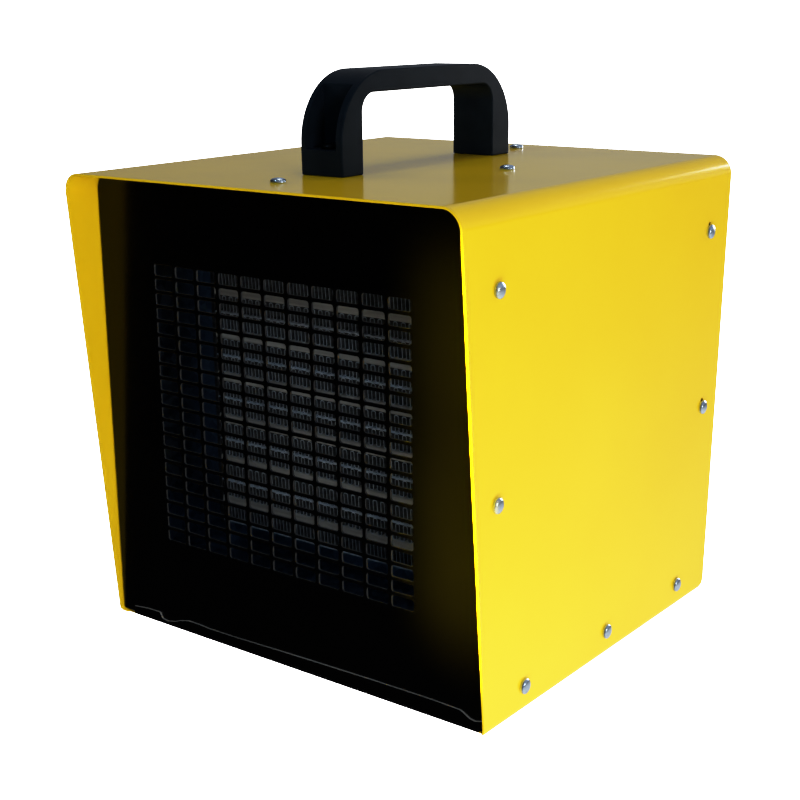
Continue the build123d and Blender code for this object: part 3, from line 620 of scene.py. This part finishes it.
# %% Slots above the rear screws
KEY_SLOT_W, KEY_SLOT_TOP = 2.4 * MM, 5.3 * MM
KEY_SLOT_ROUND, THROUGH = KEY_SLOT_W / 2.2, 3 * MM
REAR_SCREW_Y = 105.2 * MM
SIDE_SCREW_Z = (118.75 * MM, 218.0 * MM)
PAINT_EDGE = 0.3 * MM
slot_front, slot_rear = REAR_SCREW_Y - KEY_SLOT_W / 2, REAR_SCREW_Y + KEY_SLOT_W / 2
key_slots = []
for x in (shell_low.x, shell_high.x):
    for z in SIDE_SCREW_Z:
        outline = rectangle(slot_front, slot_rear, z, z + KEY_SLOT_TOP, 0, 6, KEY_SLOT_ROUND)
        key_slots.append(prism(outline, x - THROUGH, x + THROUGH))
wrap = eased(cut(wrap, *key_slots), PAINT_EDGE)
piece("case_wrap", wrap, yellow_coat, "shell_yellow", "outer_shell")

# %% [markdown]
# The front and rear panels are shallow pans: a flat punched face with a rolled rim that turns back into the
# case. The rim is a section carried round the face's outline, and straight flanges follow it. Two hundred
# Booleans would be slow, so the face is a filled curve with its holes drawn in.

# %% Pans
PAN_SHEET, PAN_BEND, PAN_RIM, PAN_FLANGE = 1.2 * MM, 1.6 * MM, 3.0 * MM, 15 * MM
PAN_CORNER, PAN_FOOT_CORNER = 9.1 * MM, 0.2 * MM
PRESS_EDGE = 0.25 * MM
FLANGE_START, FLANGE_FOOT = 0.8, 24 * MM


def rim_section(into):
    """The rolled rim as (inset, y) from the flat face back, round, and forward again."""
    bend, thin = PAN_BEND, PAN_BEND - PAN_SHEET
    outside = [(bend - bend * sin(t), into * (bend - bend * cos(t))) for t in QUARTER_TURN]
    inside = [(bend - thin * sin(t), into * (bend - thin * cos(t))) for t in reversed(QUARTER_TURN)]
    return outside + [(0, into * PAN_RIM), (PAN_SHEET, into * PAN_RIM)] + inside


def rolled_rim(outline, face_y, into):
    """The rim swept round a closed outline that runs anticlockwise in x and z."""
    section, points = rim_section(into), []
    for i, here in enumerate(outline):
        along = (outline[(i + 1) % len(outline)] - outline[i - 1]).normalized()
        inward = Vector((-along.y, along.x))
        points += [(*(here + inward * inset), y) for inset, y in section]
    faces = faces_round(len(outline), len(section), len(section))
    mesh = new_mesh([(x, face_y + y, z) for x, z, y in points], faces)
    if into < 0:
        mesh.flip_normals()
    return mesh


def pan_outline(low, high, inset, foot_corner, corner):
    """A pan's outline, drawn in from its CAD box."""
    sides = (low.x + inset, high.x - inset, low.z + inset, high.z - inset)
    return rectangle(*sides, foot_corner, top=corner)


def pan(node, face_y, into, holes):
    """A whole pan that takes its width and height from its CAD node."""
    low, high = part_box(node)
    inset = PAN_BEND - PRESS_EDGE
    flat = pan_outline(low, high, inset, PAN_FOOT_CORNER, PAN_CORNER - inset)
    y0, y1 = sorted((face_y, face_y + into * PAN_SHEET))
    face = punched_sheet(flat, holes, y0, y1, PRESS_EDGE)
    rim = rolled_rim(pan_outline(low, high, 0, PAN_BEND, PAN_CORNER), face_y, into)
    flange_y = sorted((face_y + into * PAN_RIM * FLANGE_START, face_y + into * PAN_FLANGE))
    straight = (low.z + FLANGE_FOOT, high.z - PAN_CORNER)
    flanges = [
        block(low.x, low.x + PAN_SHEET, *flange_y, *straight),
        block(high.x - PAN_SHEET, high.x, *flange_y, *straight),
        block(low.x + PAN_CORNER, high.x - PAN_CORNER, *flange_y, high.z - PAN_SHEET, high.z),
    ]
    return smooth(joined(face, rim, *flanges), 50)


def slot_grid(x0, z0, columns, rows, pitch, size, radius):
    """Outlines of a grid of slots, from the lower left one."""
    holes = []
    for column in range(columns):
        for row in range(rows):
            left, low = x0 + column * pitch[0], z0 + row * pitch[1]
            holes.append(rectangle(left, left + size[0], low, low + size[1], radius, 3))
    return holes


print("rim section of", len(rim_section(1)), "points")

# %% [markdown]
# The outlet has eleven columns and twenty rows of slots with rounded corners. The slots' walls get a
# lighter grey copy of the black coat, a painted highlight, so they show as fine lit lines.

# %% The outlet panel
GRILLE_COLUMNS, GRILLE_ROWS = 11, 20
GRILLE_X0, GRILLE_Z0, GRILLE_Z1 = -83.75 * MM, 58.25 * MM, 210.25 * MM
UPRIGHT_W, CROSSBAR_H, SLOT_CORNER = 2.2 * MM, 1.88 * MM, 1.3 * MM
grille_pitch = (
    (-2 * GRILLE_X0 + UPRIGHT_W) / GRILLE_COLUMNS,
    (GRILLE_Z1 - GRILLE_Z0 + CROSSBAR_H) / GRILLE_ROWS,
)
grille_slot = (grille_pitch[0] - UPRIGHT_W, grille_pitch[1] - CROSSBAR_H)
outlet = slot_grid(GRILLE_X0, GRILLE_Z0, GRILLE_COLUMNS, GRILLE_ROWS, grille_pitch, grille_slot, SLOT_CORNER)
outlet_pan = pan("front_panel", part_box("front_panel")[0].y, 1, outlet)
front = piece("front_pan", outlet_pan, black_coat, "panel_black", "front_panel")
# The slot walls get the lighter grey coat, a painted highlight that draws them as lit lines.
painted_light_finish(front, slot_wall_highlight, (GRILLE_X0, -1, GRILLE_Z0), (-GRILLE_X0, 1, GRILLE_Z1))
print(len(outlet), "slots of", [round(side / MM, 2) for side in grille_slot], "mm")

# %% [markdown]
# The rear panel is the same kind of pan. Its intake is two columns of long slots, which keep fingers from
# the fan and let the air in. Round holes above and below them take the controls and the cable gland.

# %% The intake panel
INTAKE_COLUMNS, INTAKE_ROWS = 2, 10
INTAKE_X0, INTAKE_Z0, INTAKE_STEP = -77.0 * MM, 63.0 * MM, 12.6 * MM
INTAKE_UPRIGHT, INTAKE_SLOT_H, INTAKE_CORNER = 10 * MM, 6.4 * MM, 2.4 * MM
CONTROL_X, CONTROL_Z, CONTROL_HOLE_R = 46 * MM, 224 * MM, 5.2 * MM
GLAND_X, GLAND_Z, GLAND_HOLE_R = 88 * MM, 35 * MM, 8.1 * MM
NEARLY_ROUND = 0.999


def round_hole(x, z, radius):
    """A rectangle whose corners are rounded until they all but meet."""
    return rectangle(x - radius, x + radius, z - radius, z + radius, radius * NEARLY_ROUND, 8)


intake_pitch = ((-2 * INTAKE_X0 + INTAKE_UPRIGHT) / INTAKE_COLUMNS, INTAKE_STEP)
intake_slot = (intake_pitch[0] - INTAKE_UPRIGHT, INTAKE_SLOT_H)
intake_grid = (INTAKE_X0, INTAKE_Z0, INTAKE_COLUMNS, INTAKE_ROWS)
intake = slot_grid(*intake_grid, intake_pitch, intake_slot, INTAKE_CORNER)
intake += [round_hole(side * CONTROL_X, CONTROL_Z, CONTROL_HOLE_R) for side in (-1, 1)]
intake.append(round_hole(GLAND_X, GLAND_Z, GLAND_HOLE_R))
rear_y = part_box("rear_panel")[1].y
piece("rear_pan", pan("rear_panel", rear_y, -1, intake), black_coat, "panel_black", "rear_panel")
print("intake slots of", [round(side / MM, 1) for side in intake_slot], "mm")

# %% [markdown]
# Under the front panel the base tray turns up in a low lip. Its sheared edge climbs unevenly to the right
# and catches the light as a thin line, so its points are placed one by one. The tray is a trough with a
# lip at each end.

# %% The base tray
tray_low, tray_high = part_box("base_tray")
TRAY_SHEET, TRAY_BEND, LIP_BEND, LIP_H = 1.2 * MM, 3.3 * MM, 2.4 * MM, 7.5 * MM
SHEAR_EDGE, REAR_LIP_CORNER = 0.35 * MM, 0.8 * MM
CORNER_DEPTH, SIDE_INSET, LIP_REACH = 8.0 * MM, 17.4 * MM, 20 * MM
LIP_LAP, BEND_LAP, SIDE_LAP = 0.3 * MM, 0.05 * MM, 0.1 * MM
# The front lip's sheared edge from left to right: x, height above the case's underside, and rounding, in mm.
LIP_EDGE = [
    (-114.0, 6.9, 0.5), (-103.4, 8.1, 4), (-93.2, 8.4, 1.2), (-91.2, 5.1, 1.2), (-86.8, 4.5, 1.5),
    (-82.0, 5.6, 1.5), (-77.0, 7.4, 2), (-70.5, 8.9, 3), (-62.0, 8.9, 3), (-55.0, 8.5, 3),
    (-38.0, 8.6, 4), (-8.0, 9.5, 6), (20.0, 10.2, 6), (60.0, 11.0, 6), (95.0, 11.3, 4),
    (112.0, 10.9, 2), (117.2, 8.1, 1.5), (120.3, 7.6, 1.0), (124.6, 8.8, 0.4),
]
lip_top, bend_top, floor_top = tray_low.z + LIP_H, tray_low.z + LIP_BEND, tray_low.z + TRAY_SHEET


def front_lip():
    """The front lip above its bend, with its uneven edge."""
    edge = [(x * MM, shell_low.z + up * MM, radius * MM) for x, up, radius in reversed(LIP_EDGE)]
    foot = bend_top - LIP_LAP
    return filleted([(edge[-1][0], foot, 0), (edge[0][0], foot, 0), *edge], 5)


def lip_bend(x0, x1):
    """The quarter turn from the lip back into the tray's floor."""
    centre_y, centre_z, thin = tray_low.y + LIP_BEND, bend_top, LIP_BEND - TRAY_SHEET
    outside = [(centre_y - LIP_BEND * cos(t), centre_z - LIP_BEND * sin(t)) for t in QUARTER_TURN]
    inside = [(centre_y - thin * cos(t), centre_z - thin * sin(t)) for t in reversed(QUARTER_TURN)]
    return prism(outside + inside, x0, x1)


def trough(y0, y1):
    """The tray's floor and its two sides."""
    line = filleted([
        (tray_low.x, tray_high.z, 0), (tray_low.x, tray_low.z, TRAY_BEND),
        (tray_high.x, tray_low.z, TRAY_BEND), (tray_high.x, tray_high.z, 0),
    ], 8)
    return worked(ribbon(line, y0, y1), "SOLIDIFY", thickness=TRAY_SHEET, offset=-1)


front_lip_rear, rear_lip_front = tray_low.y + TRAY_SHEET, tray_high.y - TRAY_SHEET
rear_lip = rectangle(tray_low.x, tray_high.x, tray_low.z, lip_top, REAR_LIP_CORNER, 4)
lip_x, floor_x = LIP_EDGE[0][0] * MM, tray_high.x - TRAY_BEND
corner_y = tray_low.y + CORNER_DEPTH
side_y = (tray_low.y + SIDE_INSET, tray_high.y - SIDE_INSET)
floor_z = (tray_low.z, floor_top)
tray = joined(
    punched_sheet(front_lip(), [], tray_low.y, front_lip_rear, SHEAR_EDGE),
    punched_sheet(rear_lip, [], rear_lip_front, tray_high.y, SHEAR_EDGE),
    lip_bend(lip_x, floor_x),
    block(lip_x, floor_x, tray_low.y + LIP_BEND - BEND_LAP, corner_y, *floor_z),
    block(-floor_x, floor_x, corner_y, side_y[0] + SIDE_LAP, *floor_z),
    block(-floor_x, floor_x, side_y[1] - SIDE_LAP, rear_lip_front, *floor_z),
    trough(*side_y),
)
base = piece("tray", smooth(tray, 50), black_coat, "panel_black", "base_tray")
# The lip's sheared edge gets the pale grey: nearly bare steel, and a painted highlight along its top.
painted_light_finish(
    base, bare_edge_and_highlight, (tray_low.x, tray_low.y, bend_top), (tray_high.x, front_lip_rear, tray_low.z + LIP_REACH)
)
print("lip edge of", len(front_lip()), "points")

# %% [markdown]
# Zinc pan head screws hold the case together. Each is turned from a domed profile with a short rim and a
# shank, and a cross recess is cut into the dome. The profile is given in shares of the head and the shank,
# so that one helper makes every size.

# %% A pan head screw
HEAD_R, HEAD_H, SHANK_R, SHANK_L = 3.9 * MM, 2.4 * MM, 1.95 * MM, 8.6 * MM
CROWN_R, CROWN_FOOT, CROWN_RISE = 0.86, 0.62, 0.38
RIM_SHARES = [(0.95, 0.62), (1, 0.42), (0.99, 0.1), (0.93, 0)]
STRAIGHT_SHANK, TIP_R = 0.8, 0.4
RECESS_ARM, RECESS_W, RECESS_FOOT = 0.48, 0.12, 0.5


def pan_screw(head_r, head_h, shank_r, length):
    """A screw that stands in the origin with its head up."""
    angles = [radians(angle) for angle in range(0, 71, 10)]
    crown = [(head_r * CROWN_R * sin(a), head_h * (CROWN_FOOT + CROWN_RISE * cos(a))) for a in angles]
    rim = [(head_r * out, head_h * rise) for out, rise in RIM_SHARES]
    shank = [(shank_r, 0), (shank_r, -length * STRAIGHT_SHANK), (shank_r * TIP_R, -length), (0, -length)]
    screw = smooth(turned(crown + rim + shank, 40), 50)
    arm, width = head_r * RECESS_ARM, head_r * RECESS_W
    depth = (head_h * RECESS_FOOT, head_h * 1.5)
    recess = [block(-arm, arm, -width, width, *depth), block(-width, width, -arm, arm, *depth)]
    return cut(screw, *recess)


case_screw = pan_screw(HEAD_R, HEAD_H, SHANK_R, SHANK_L)
print("one screw", len(case_screw.polygons), "faces")

# %% [markdown]
# Seven screws hold each side and four hold the top. They are copies of one mesh, each turned by its own
# angle, because a row of recesses that all line up looks drawn.

# %% The case screws
FRONT_SCREW_Y = -101.7 * MM
BASE_SCREW_Y, BASE_SCREW_Z = (-76.7 * MM, 2.65 * MM, 82.0 * MM), 19.2 * MM
TOP_SCREWS = [(0, -103.5), (0, 105.2), (-60, 4.5), (60, 4.5)]
FIRST_SPIN, NEXT_SPIN = 23, 67


def to_face(x, y, z, way):
    """A matrix that stands a piece on a face of the heater, such as '+x' for the right side."""
    ways = {"+x": ("Y", 90), "-x": ("Y", -90), "+y": ("X", -90), "+z": ("Z", 0), "-z": ("X", 180)}
    axis, angle = ways[way]
    return Matrix.Translation((x, y, z)) @ Matrix.Rotation(radians(angle), 4, axis)


def driven(screw, places):
    """Copies of a screw at its places, each turned by its own odd angle."""
    spins = [Matrix.Rotation(radians(FIRST_SPIN + NEXT_SPIN * i), 4, "Z") for i in range(len(places))]
    return smooth(joined(*[moved(screw, place @ spin) for place, spin in zip(places, spins)]), 40)


side_places = [(y, z) for y in (FRONT_SCREW_Y, REAR_SCREW_Y) for z in SIDE_SCREW_Z]
side_places += [(y, BASE_SCREW_Z) for y in BASE_SCREW_Y]
side_spots = [to_face(shell_high.x, y, z, "+x") for y, z in side_places]
side_spots += [to_face(shell_low.x, y, z, "-x") for y, z in side_places]
top_spots = [to_face(x * MM, y * MM, shell_high.z, "+z") for x, y in TOP_SCREWS]
piece("side_case_screws", driven(case_screw, side_spots), zinc, "zinc_screw", "side_screws")
piece("top_case_screws", driven(case_screw, top_spots), zinc, "zinc_screw", "top_screws")

# %% [markdown]
# The handle is one moulding: an arch with long shoulders, and a pocket in each end that saves plastic and
# hides a screw. The arch's outline becomes a prism whose edges are eased as a mould eases them, and the
# pockets cut from it get a finer edge.

# %% The handle
handle_low, handle_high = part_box("handle")
LEG, BEAM, SHOULDER_R, INNER_R, DRAFT = 17 * MM, 11 * MM, 35 * MM, 9.5 * MM, 1.2 * MM
FRONT_REACH, REAR_REACH, RIGHT_REACH = 0.8 * MM, 1.4 * MM, 0.7 * MM
POCKET_WALL, POCKET_WEB, POCKET_FLOOR, PAST = 3.3 * MM, 2.4 * MM, 13.0 * MM, 5 * MM
MOULD_EDGE, POCKET_EDGE = 0.9 * MM, 0.35 * MM
front_end, rear_end = handle_low.y - FRONT_REACH, handle_high.y + REAR_REACH
foot, top = handle_low.z, handle_high.z
front_leg, rear_leg = handle_low.y + LEG, handle_high.y - LEG
arch = filleted([
    (front_end + DRAFT, foot, 0), (front_leg, foot, 0),
    (front_leg, top - BEAM, INNER_R), (rear_leg, top - BEAM, INNER_R),
    (rear_leg, foot, 0), (rear_end - DRAFT, foot, 0),
    (rear_end, top, SHOULDER_R), (front_end, top, SHOULDER_R),
], 20)
pocket_x = handle_high.x - POCKET_WALL
pocket_z = (foot + POCKET_FLOOR, top + PAST)
pocket_depth = LEG - POCKET_WEB
pockets = [
    block(-pocket_x, pocket_x, handle_low.y - PAST, handle_low.y + pocket_depth, *pocket_z),
    block(-pocket_x, pocket_x, handle_high.y - pocket_depth, handle_high.y + PAST, *pocket_z),
]
grip = eased(prism(arch, handle_low.x, handle_high.x + RIGHT_REACH), MOULD_EDGE, 3)
grip = eased(cut(grip, *pockets), POCKET_EDGE, angle=50)
piece("handle_arch", grip, handle_plastic, "handle_black", "handle")

# %% [markdown]
# A long blackened screw stands on each pocket's floor and runs into a nut under the case's top. The same
# helper makes it in a larger size.

# %% The handle screws
HANDLE_SCREW = (4.5 * MM, 3.0 * MM, 2.45 * MM, 19 * MM)
screw_ys = (handle_low.y + pocket_depth / 2, handle_high.y - pocket_depth / 2)
handle_spots = [to_face(0, y, pocket_z[0], "+z") for y in screw_ys]
handle_fixings = driven(pan_screw(*HANDLE_SCREW), handle_spots)
piece("handle_fixings", handle_fixings, blackened, "zinc_screw", "handle_screws")

# %% [markdown]
# Behind the slots stands the heating element: flat aluminium tubes with a fin strip folded over and under
# each. A strip is a thin ribbon of sixty upright fins joined by round turns, carried back through the
# element's depth and then thickened. Real fins are never quite even, so a slow wave sways them.

# %% The fin strips
element_low, element_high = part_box("element_tubes")
plates_low, plates_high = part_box("element_plates")
MODULES, PLATE_T, RIBBON_T, FIN_PITCH, TURN_R, LEAN = 6, 0.8 * MM, 0.4 * MM, 2.4 * MM, 0.8 * MM, 0.3 * MM
FIN_INSET, LOWER_SWAY, UPPER_SWAY, WAVE_STEP = 0.3 * MM, 0.05 * MM, 0.06 * MM, 1.7
module_pitch = (plates_high.z - plates_low.z - PLATE_T) / MODULES
tube_h = element_high.z - element_low.z - (MODULES - 1) * module_pitch
fin_h = (module_pitch - tube_h - PLATE_T) / 2
fins_across = round((element_high.x - element_low.x) / FIN_PITCH)


def folded_path(z0, z1, sway):
    """A ribbon's line from left to right: upright fins joined by turns."""
    corners = []
    for i in range(fins_across):
        x = element_low.x + (i + 0.5) * FIN_PITCH + sway * sin(WAVE_STEP * i)
        ends = [(x + LEAN, z0, TURN_R), (x - LEAN, z1, TURN_R)]
        corners += ends if i % 2 == 0 else ends[::-1]
    corners[0] = (*corners[0][:2], 0)
    corners[-1] = (*corners[-1][:2], 0)
    return filleted(corners, 4)


def fin_strip(z0, z1, sway):
    line = folded_path(z0 + RIBBON_T / 2, z1 - RIBBON_T / 2, sway)
    return ribbon(line, element_low.y + FIN_INSET, element_high.y - FIN_INSET)


strips = []
for row in range(MODULES):
    low = plates_low.z + PLATE_T + row * module_pitch
    tube_z = low + fin_h
    tube_top = tube_z + tube_h
    strips.append(fin_strip(low, tube_z, LOWER_SWAY * (1 + row % 3)))
    strips.append(fin_strip(tube_top, tube_top + fin_h, UPPER_SWAY * (1 + (row + 1) % 3)))
ribbons = worked(joined(*strips), "SOLIDIFY", thickness=RIBBON_T, offset=0)
fins = piece("fin_ribbons", smooth(ribbons, 40), fin_aluminium, "fin_aluminium", "element_fins")
# The fins' broad sides get the dark copy, painted shade between the fins, while their front edges stay
# bright.
painted_light_finish(fins, fin_side_shade, plates_low, plates_high)
print(fins_across, "fins in a strip")

# %% [markdown]
# The tubes are flat bars with rounded fronts, which show as pale bands between the fins. Thin plates part
# the modules, and a rail at each end ties them together. One helper stacks both kinds of bar.

# %% The tubes, plates and rails
TUBE_ROUND, TUBE_EDGE, PLATE_ROUND = 1.1 * MM, 0.2 * MM, 0.3 * MM
RAIL_T, RAIL_ROUND, RAIL_EDGE = 2.6 * MM, 0.8 * MM, 0.4 * MM


def stacked(low, high, bars, thick, radius, steps):
    """Flat bars as wide as a CAD box, one above the other and a module apart."""
    levels = [low.z + row * module_pitch for row in range(bars)]
    depth = (element_low.y, element_high.y)
    return joined(*[block(low.x, high.x, *depth, z, z + thick, radius, steps) for z in levels])


tubes = eased(stacked(element_low, element_high, MODULES, tube_h, TUBE_ROUND, 6), TUBE_EDGE, angle=60)
plates = smooth(stacked(plates_low, plates_high, MODULES + 1, PLATE_T, PLATE_ROUND, 4), 50)
piece("flat_tubes", tubes, tube_aluminium, "tube_aluminium", "element_tubes")
piece("strip_plates", plates, fin_aluminium, "fin_aluminium", "element_plates")

rails_low, rails_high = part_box("element_rails")
rail_section = (rails_low.y, rails_high.y, rails_low.z, rails_high.z, RAIL_ROUND, 4)
left_rail = block(element_low.x - RAIL_T, element_low.x, *rail_section)
right_rail = block(element_high.x, element_high.x + RAIL_T, *rail_section)
rails = eased(joined(left_rail, right_rail), RAIL_EDGE, angle=60)
piece("end_rails", rails, rail_aluminium, "rail_aluminium", "element_rails")

# %% [markdown]
# The rear panel carries two knobs. Each is turned with fine flutes round its skirt, and has a grip bar and
# a pale line that points to the setting. A hollow below clears the control's bushing. A knob and its line
# ride on the body that its joint turns.

# %% The knobs
knob_low, knob_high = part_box("switch_knob")
KNOB_R, SKIRT_H, SKIRT_TOP_R, FLUTES, FLUTE_DEPTH = 17 * MM, 5.5 * MM, 15.53 * MM, 48, 0.35 * MM
KNOB_RECESS_R, KNOB_RECESS_H = 9.5 * MM, 5.2 * MM
GRIP_W, GRIP_L, GRIP_SUNK = 8 * MM, 29 * MM, 0.2 * MM
GRIP_SLANT, GRIP_ROUND, GRIP_EDGE = 1.2 * MM, 2.2 * MM, 0.9 * MM
POINTER_X, POINTER_START, POINTER_END = 0.6 * MM, 4 * MM, 11.6 * MM
POINTER_SUNK, POINTER_PROUD, POINTER_EDGE = 0.3 * MM, 0.08 * MM, 0.05 * MM
grip_top = knob_high.y - knob_low.y


def knob():
    """A knob that stands in the origin with its grip up and its pointer towards +y."""
    hollow = [(0, KNOB_RECESS_H), (KNOB_RECESS_R, KNOB_RECESS_H), (KNOB_RECESS_R, 0), (KNOB_R - 0.8 * MM, 0)]
    flutes = [
        (KNOB_R - 0.25 * MM, 0.15 * MM, 1), (KNOB_R - 0.25 * MM, 0.7 * MM, 1),
        (SKIRT_TOP_R + 0.3 * MM, SKIRT_H - 1.0 * MM, 1),
    ]
    rim = [(SKIRT_TOP_R - 0.2 * MM, SKIRT_H - 0.35 * MM), (SKIRT_TOP_R - 0.8 * MM, SKIRT_H), (0, SKIRT_H)]
    skirt = turned(hollow + flutes + rim, 5 * FLUTES, FLUTES, FLUTE_DEPTH)
    half, foot = GRIP_L / 2, SKIRT_H - GRIP_SUNK
    bar = filleted([
        (-half, foot, 0), (half, foot, 0),
        (half - GRIP_SLANT, grip_top, GRIP_ROUND), (-half + GRIP_SLANT, grip_top, GRIP_ROUND),
    ], 8)
    return joined(smooth(skirt, 40), eased(prism(bar, -GRIP_W / 2, GRIP_W / 2), GRIP_EDGE, 3))


def pointer():
    """The pale line let into the grip's top."""
    line_z = (grip_top - POINTER_SUNK, grip_top + POINTER_PROUD)
    return eased(block(-POINTER_X, POINTER_X, POINTER_START, POINTER_END, *line_z), POINTER_EDGE)


for name, x, body in (("switch", -CONTROL_X, "selector"), ("thermostat", CONTROL_X, "thermostat_dial")):
    place = to_face(x, knob_low.y, CONTROL_Z, "+y") @ Matrix.Rotation(radians(180), 4, "Z")
    piece(name + "_handwheel", moved(knob(), place), knob_plastic, "knob_black", name + "_knob", body=body)
    piece(name + "_pointer", moved(pointer(), place), white_block, "block_white", body=body)

# %% [markdown]
# The cable gland is a hexagon with a ribbed cap outside the panel and a threaded tail inside it. Cap and
# tail are one turned profile whose flutes cut the ribs, and the hexagon is a prism with a hole through it.

# %% The cable gland
gland_low, gland_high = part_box("cable_gland")
HEX_R, HEX_H, HEX_CORNER, HEX_EDGE = 10.97 * MM, 4 * MM, 0.8 * MM, 0.4 * MM
CAP_R, CAP_TOP_R, BORE_R, TAIL_R = 9.2 * MM, 6.7 * MM, 4.1 * MM, 7.9 * MM
RIBS, RIB_DEPTH, THREAD_STEP, THREAD_DEPTH = 12, 0.9 * MM, 0.6 * MM, 0.5 * MM
cap_top = gland_high.y - rear_y


def rod(radius, z0, z1):
    return turned([(0, z0), (radius, z0), (radius, z1), (0, z1)])


def gland():
    """A ribbed cap and a threaded tail that stand in the origin with the cap up."""
    tail = rear_y - gland_low.y
    cap = [(BORE_R, cap_top), (CAP_TOP_R - 1.2 * MM, cap_top), (CAP_TOP_R, cap_top - 0.9 * MM)]
    cap += [(CAP_R - 0.5 * MM, HEX_H + 4.5 * MM, 1), (CAP_R, HEX_H + 1 * MM, 1), (CAP_R, HEX_H - 0.2 * MM, 1)]
    turns = range(1 + int(tail / THREAD_STEP))
    thread = [(TAIL_R - (THREAD_DEPTH if i % 2 else 0), -THREAD_STEP * i) for i in turns]
    thread += [(TAIL_R - 0.6 * MM, -tail), (BORE_R, -tail)]
    body = turned(cap + thread + [(BORE_R, cap_top)], 12 * RIBS, RIBS, RIB_DEPTH)
    corners = [(HEX_R * cos(radians(60 * i)), HEX_R * sin(radians(60 * i)), HEX_CORNER) for i in range(6)]
    hexagon = prism(filleted(corners, 4), 0, HEX_H)
    hexagon.transform(Matrix.Rotation(radians(-90), 4, "Y"))
    drilled = cut(hexagon, rod(BORE_R + 1 * MM, -1 * MM, 9 * MM))
    return joined(smooth(body, 35), eased(drilled, HEX_EDGE))


gland_place = to_face(GLAND_X, rear_y, GLAND_Z, "+y")
piece("gland", moved(gland(), gland_place), nylon, "gland_black", "cable_gland")

# %% [markdown]
# Four rubber feet stand under the base. Each is turned with a soft lower edge, and a recess hides the head
# of its screw.

# %% The feet
foot_low, foot_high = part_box("rubber_feet")
FOOT_R, FOOT_RECESS_R, FOOT_RECESS_H, FOOT_BORE_R = 10 * MM, 4.6 * MM, 3 * MM, 2 * MM
FOOT_PLACES = [(x, y) for x in (-98 * MM, 98 * MM) for y in (-85 * MM, 88 * MM)]
foot_h = foot_high.z - foot_low.z
foot_profile = [
    (FOOT_BORE_R, foot_h), (FOOT_R - 0.3 * MM, foot_h), (FOOT_R, foot_h - 0.4 * MM),
    (FOOT_R - 0.5 * MM, 1.2 * MM), (FOOT_R - 0.9 * MM, 0.35 * MM), (FOOT_R - 1.8 * MM, 0),
    (FOOT_RECESS_R + 0.4 * MM, 0), (FOOT_RECESS_R, 0.4 * MM), (FOOT_RECESS_R, FOOT_RECESS_H),
    (FOOT_BORE_R, FOOT_RECESS_H), (FOOT_BORE_R, foot_h),
]
rubber_foot = smooth(turned(foot_profile), 40)
feet = joined(*[moved(rubber_foot, Matrix.Translation((x, y, foot_low.z))) for x, y in FOOT_PLACES])
piece("feet", smooth(feet, 40), foot_rubber, "foot_rubber", "rubber_feet")
foot_screw_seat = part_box("foot_screws")[0].z + HEAD_H
foot_spots = [to_face(x, y, foot_screw_seat, "-z") for x, y in FOOT_PLACES]
piece("foot_fixings", driven(case_screw, foot_spots), zinc, "zinc_screw", "foot_screws")

# %% [markdown]
# The remaining pieces sit inside the case and already have the right shape, so the CAD nodes themselves
# show through the slots. They only need finishes, which go into the material slots that the model came
# with.

# %% Finishes for the CAD pieces
INNER_FINISHES = [
    (galvanised, "element_baffle air_duct fan_plate motor_strap"),
    (zinc, "handle_nuts motor_screws fan_nut control_nuts"),
    (ground_steel, "motor_front_bracket motor_rear_bracket motor_shaft"),
    (ground_steel, "thermostat switch_spindle thermostat_spindle"),
    (nylon, "thermal_cutout power_switch gland_nut"), (core_steel, "motor_stack motor_rotor"),
    (coil_wire, "motor_coil"), (bronze, "motor_bearings"), (brass, "element_terminals"),
    (fan_aluminium, "fan_impeller"), (white_block, "terminal_block"),
]
finished = set()
for finish, names in INNER_FINISHES:
    for name in names.split():
        finished.add(name)
        for material_slot in nodes[name].material_slots:
            material_slot.material = finish
plain = sorted(name for name in nodes if name not in finished and not nodes[name].hide_render)
print(len(finished), "CAD pieces finished, left plain:", plain)
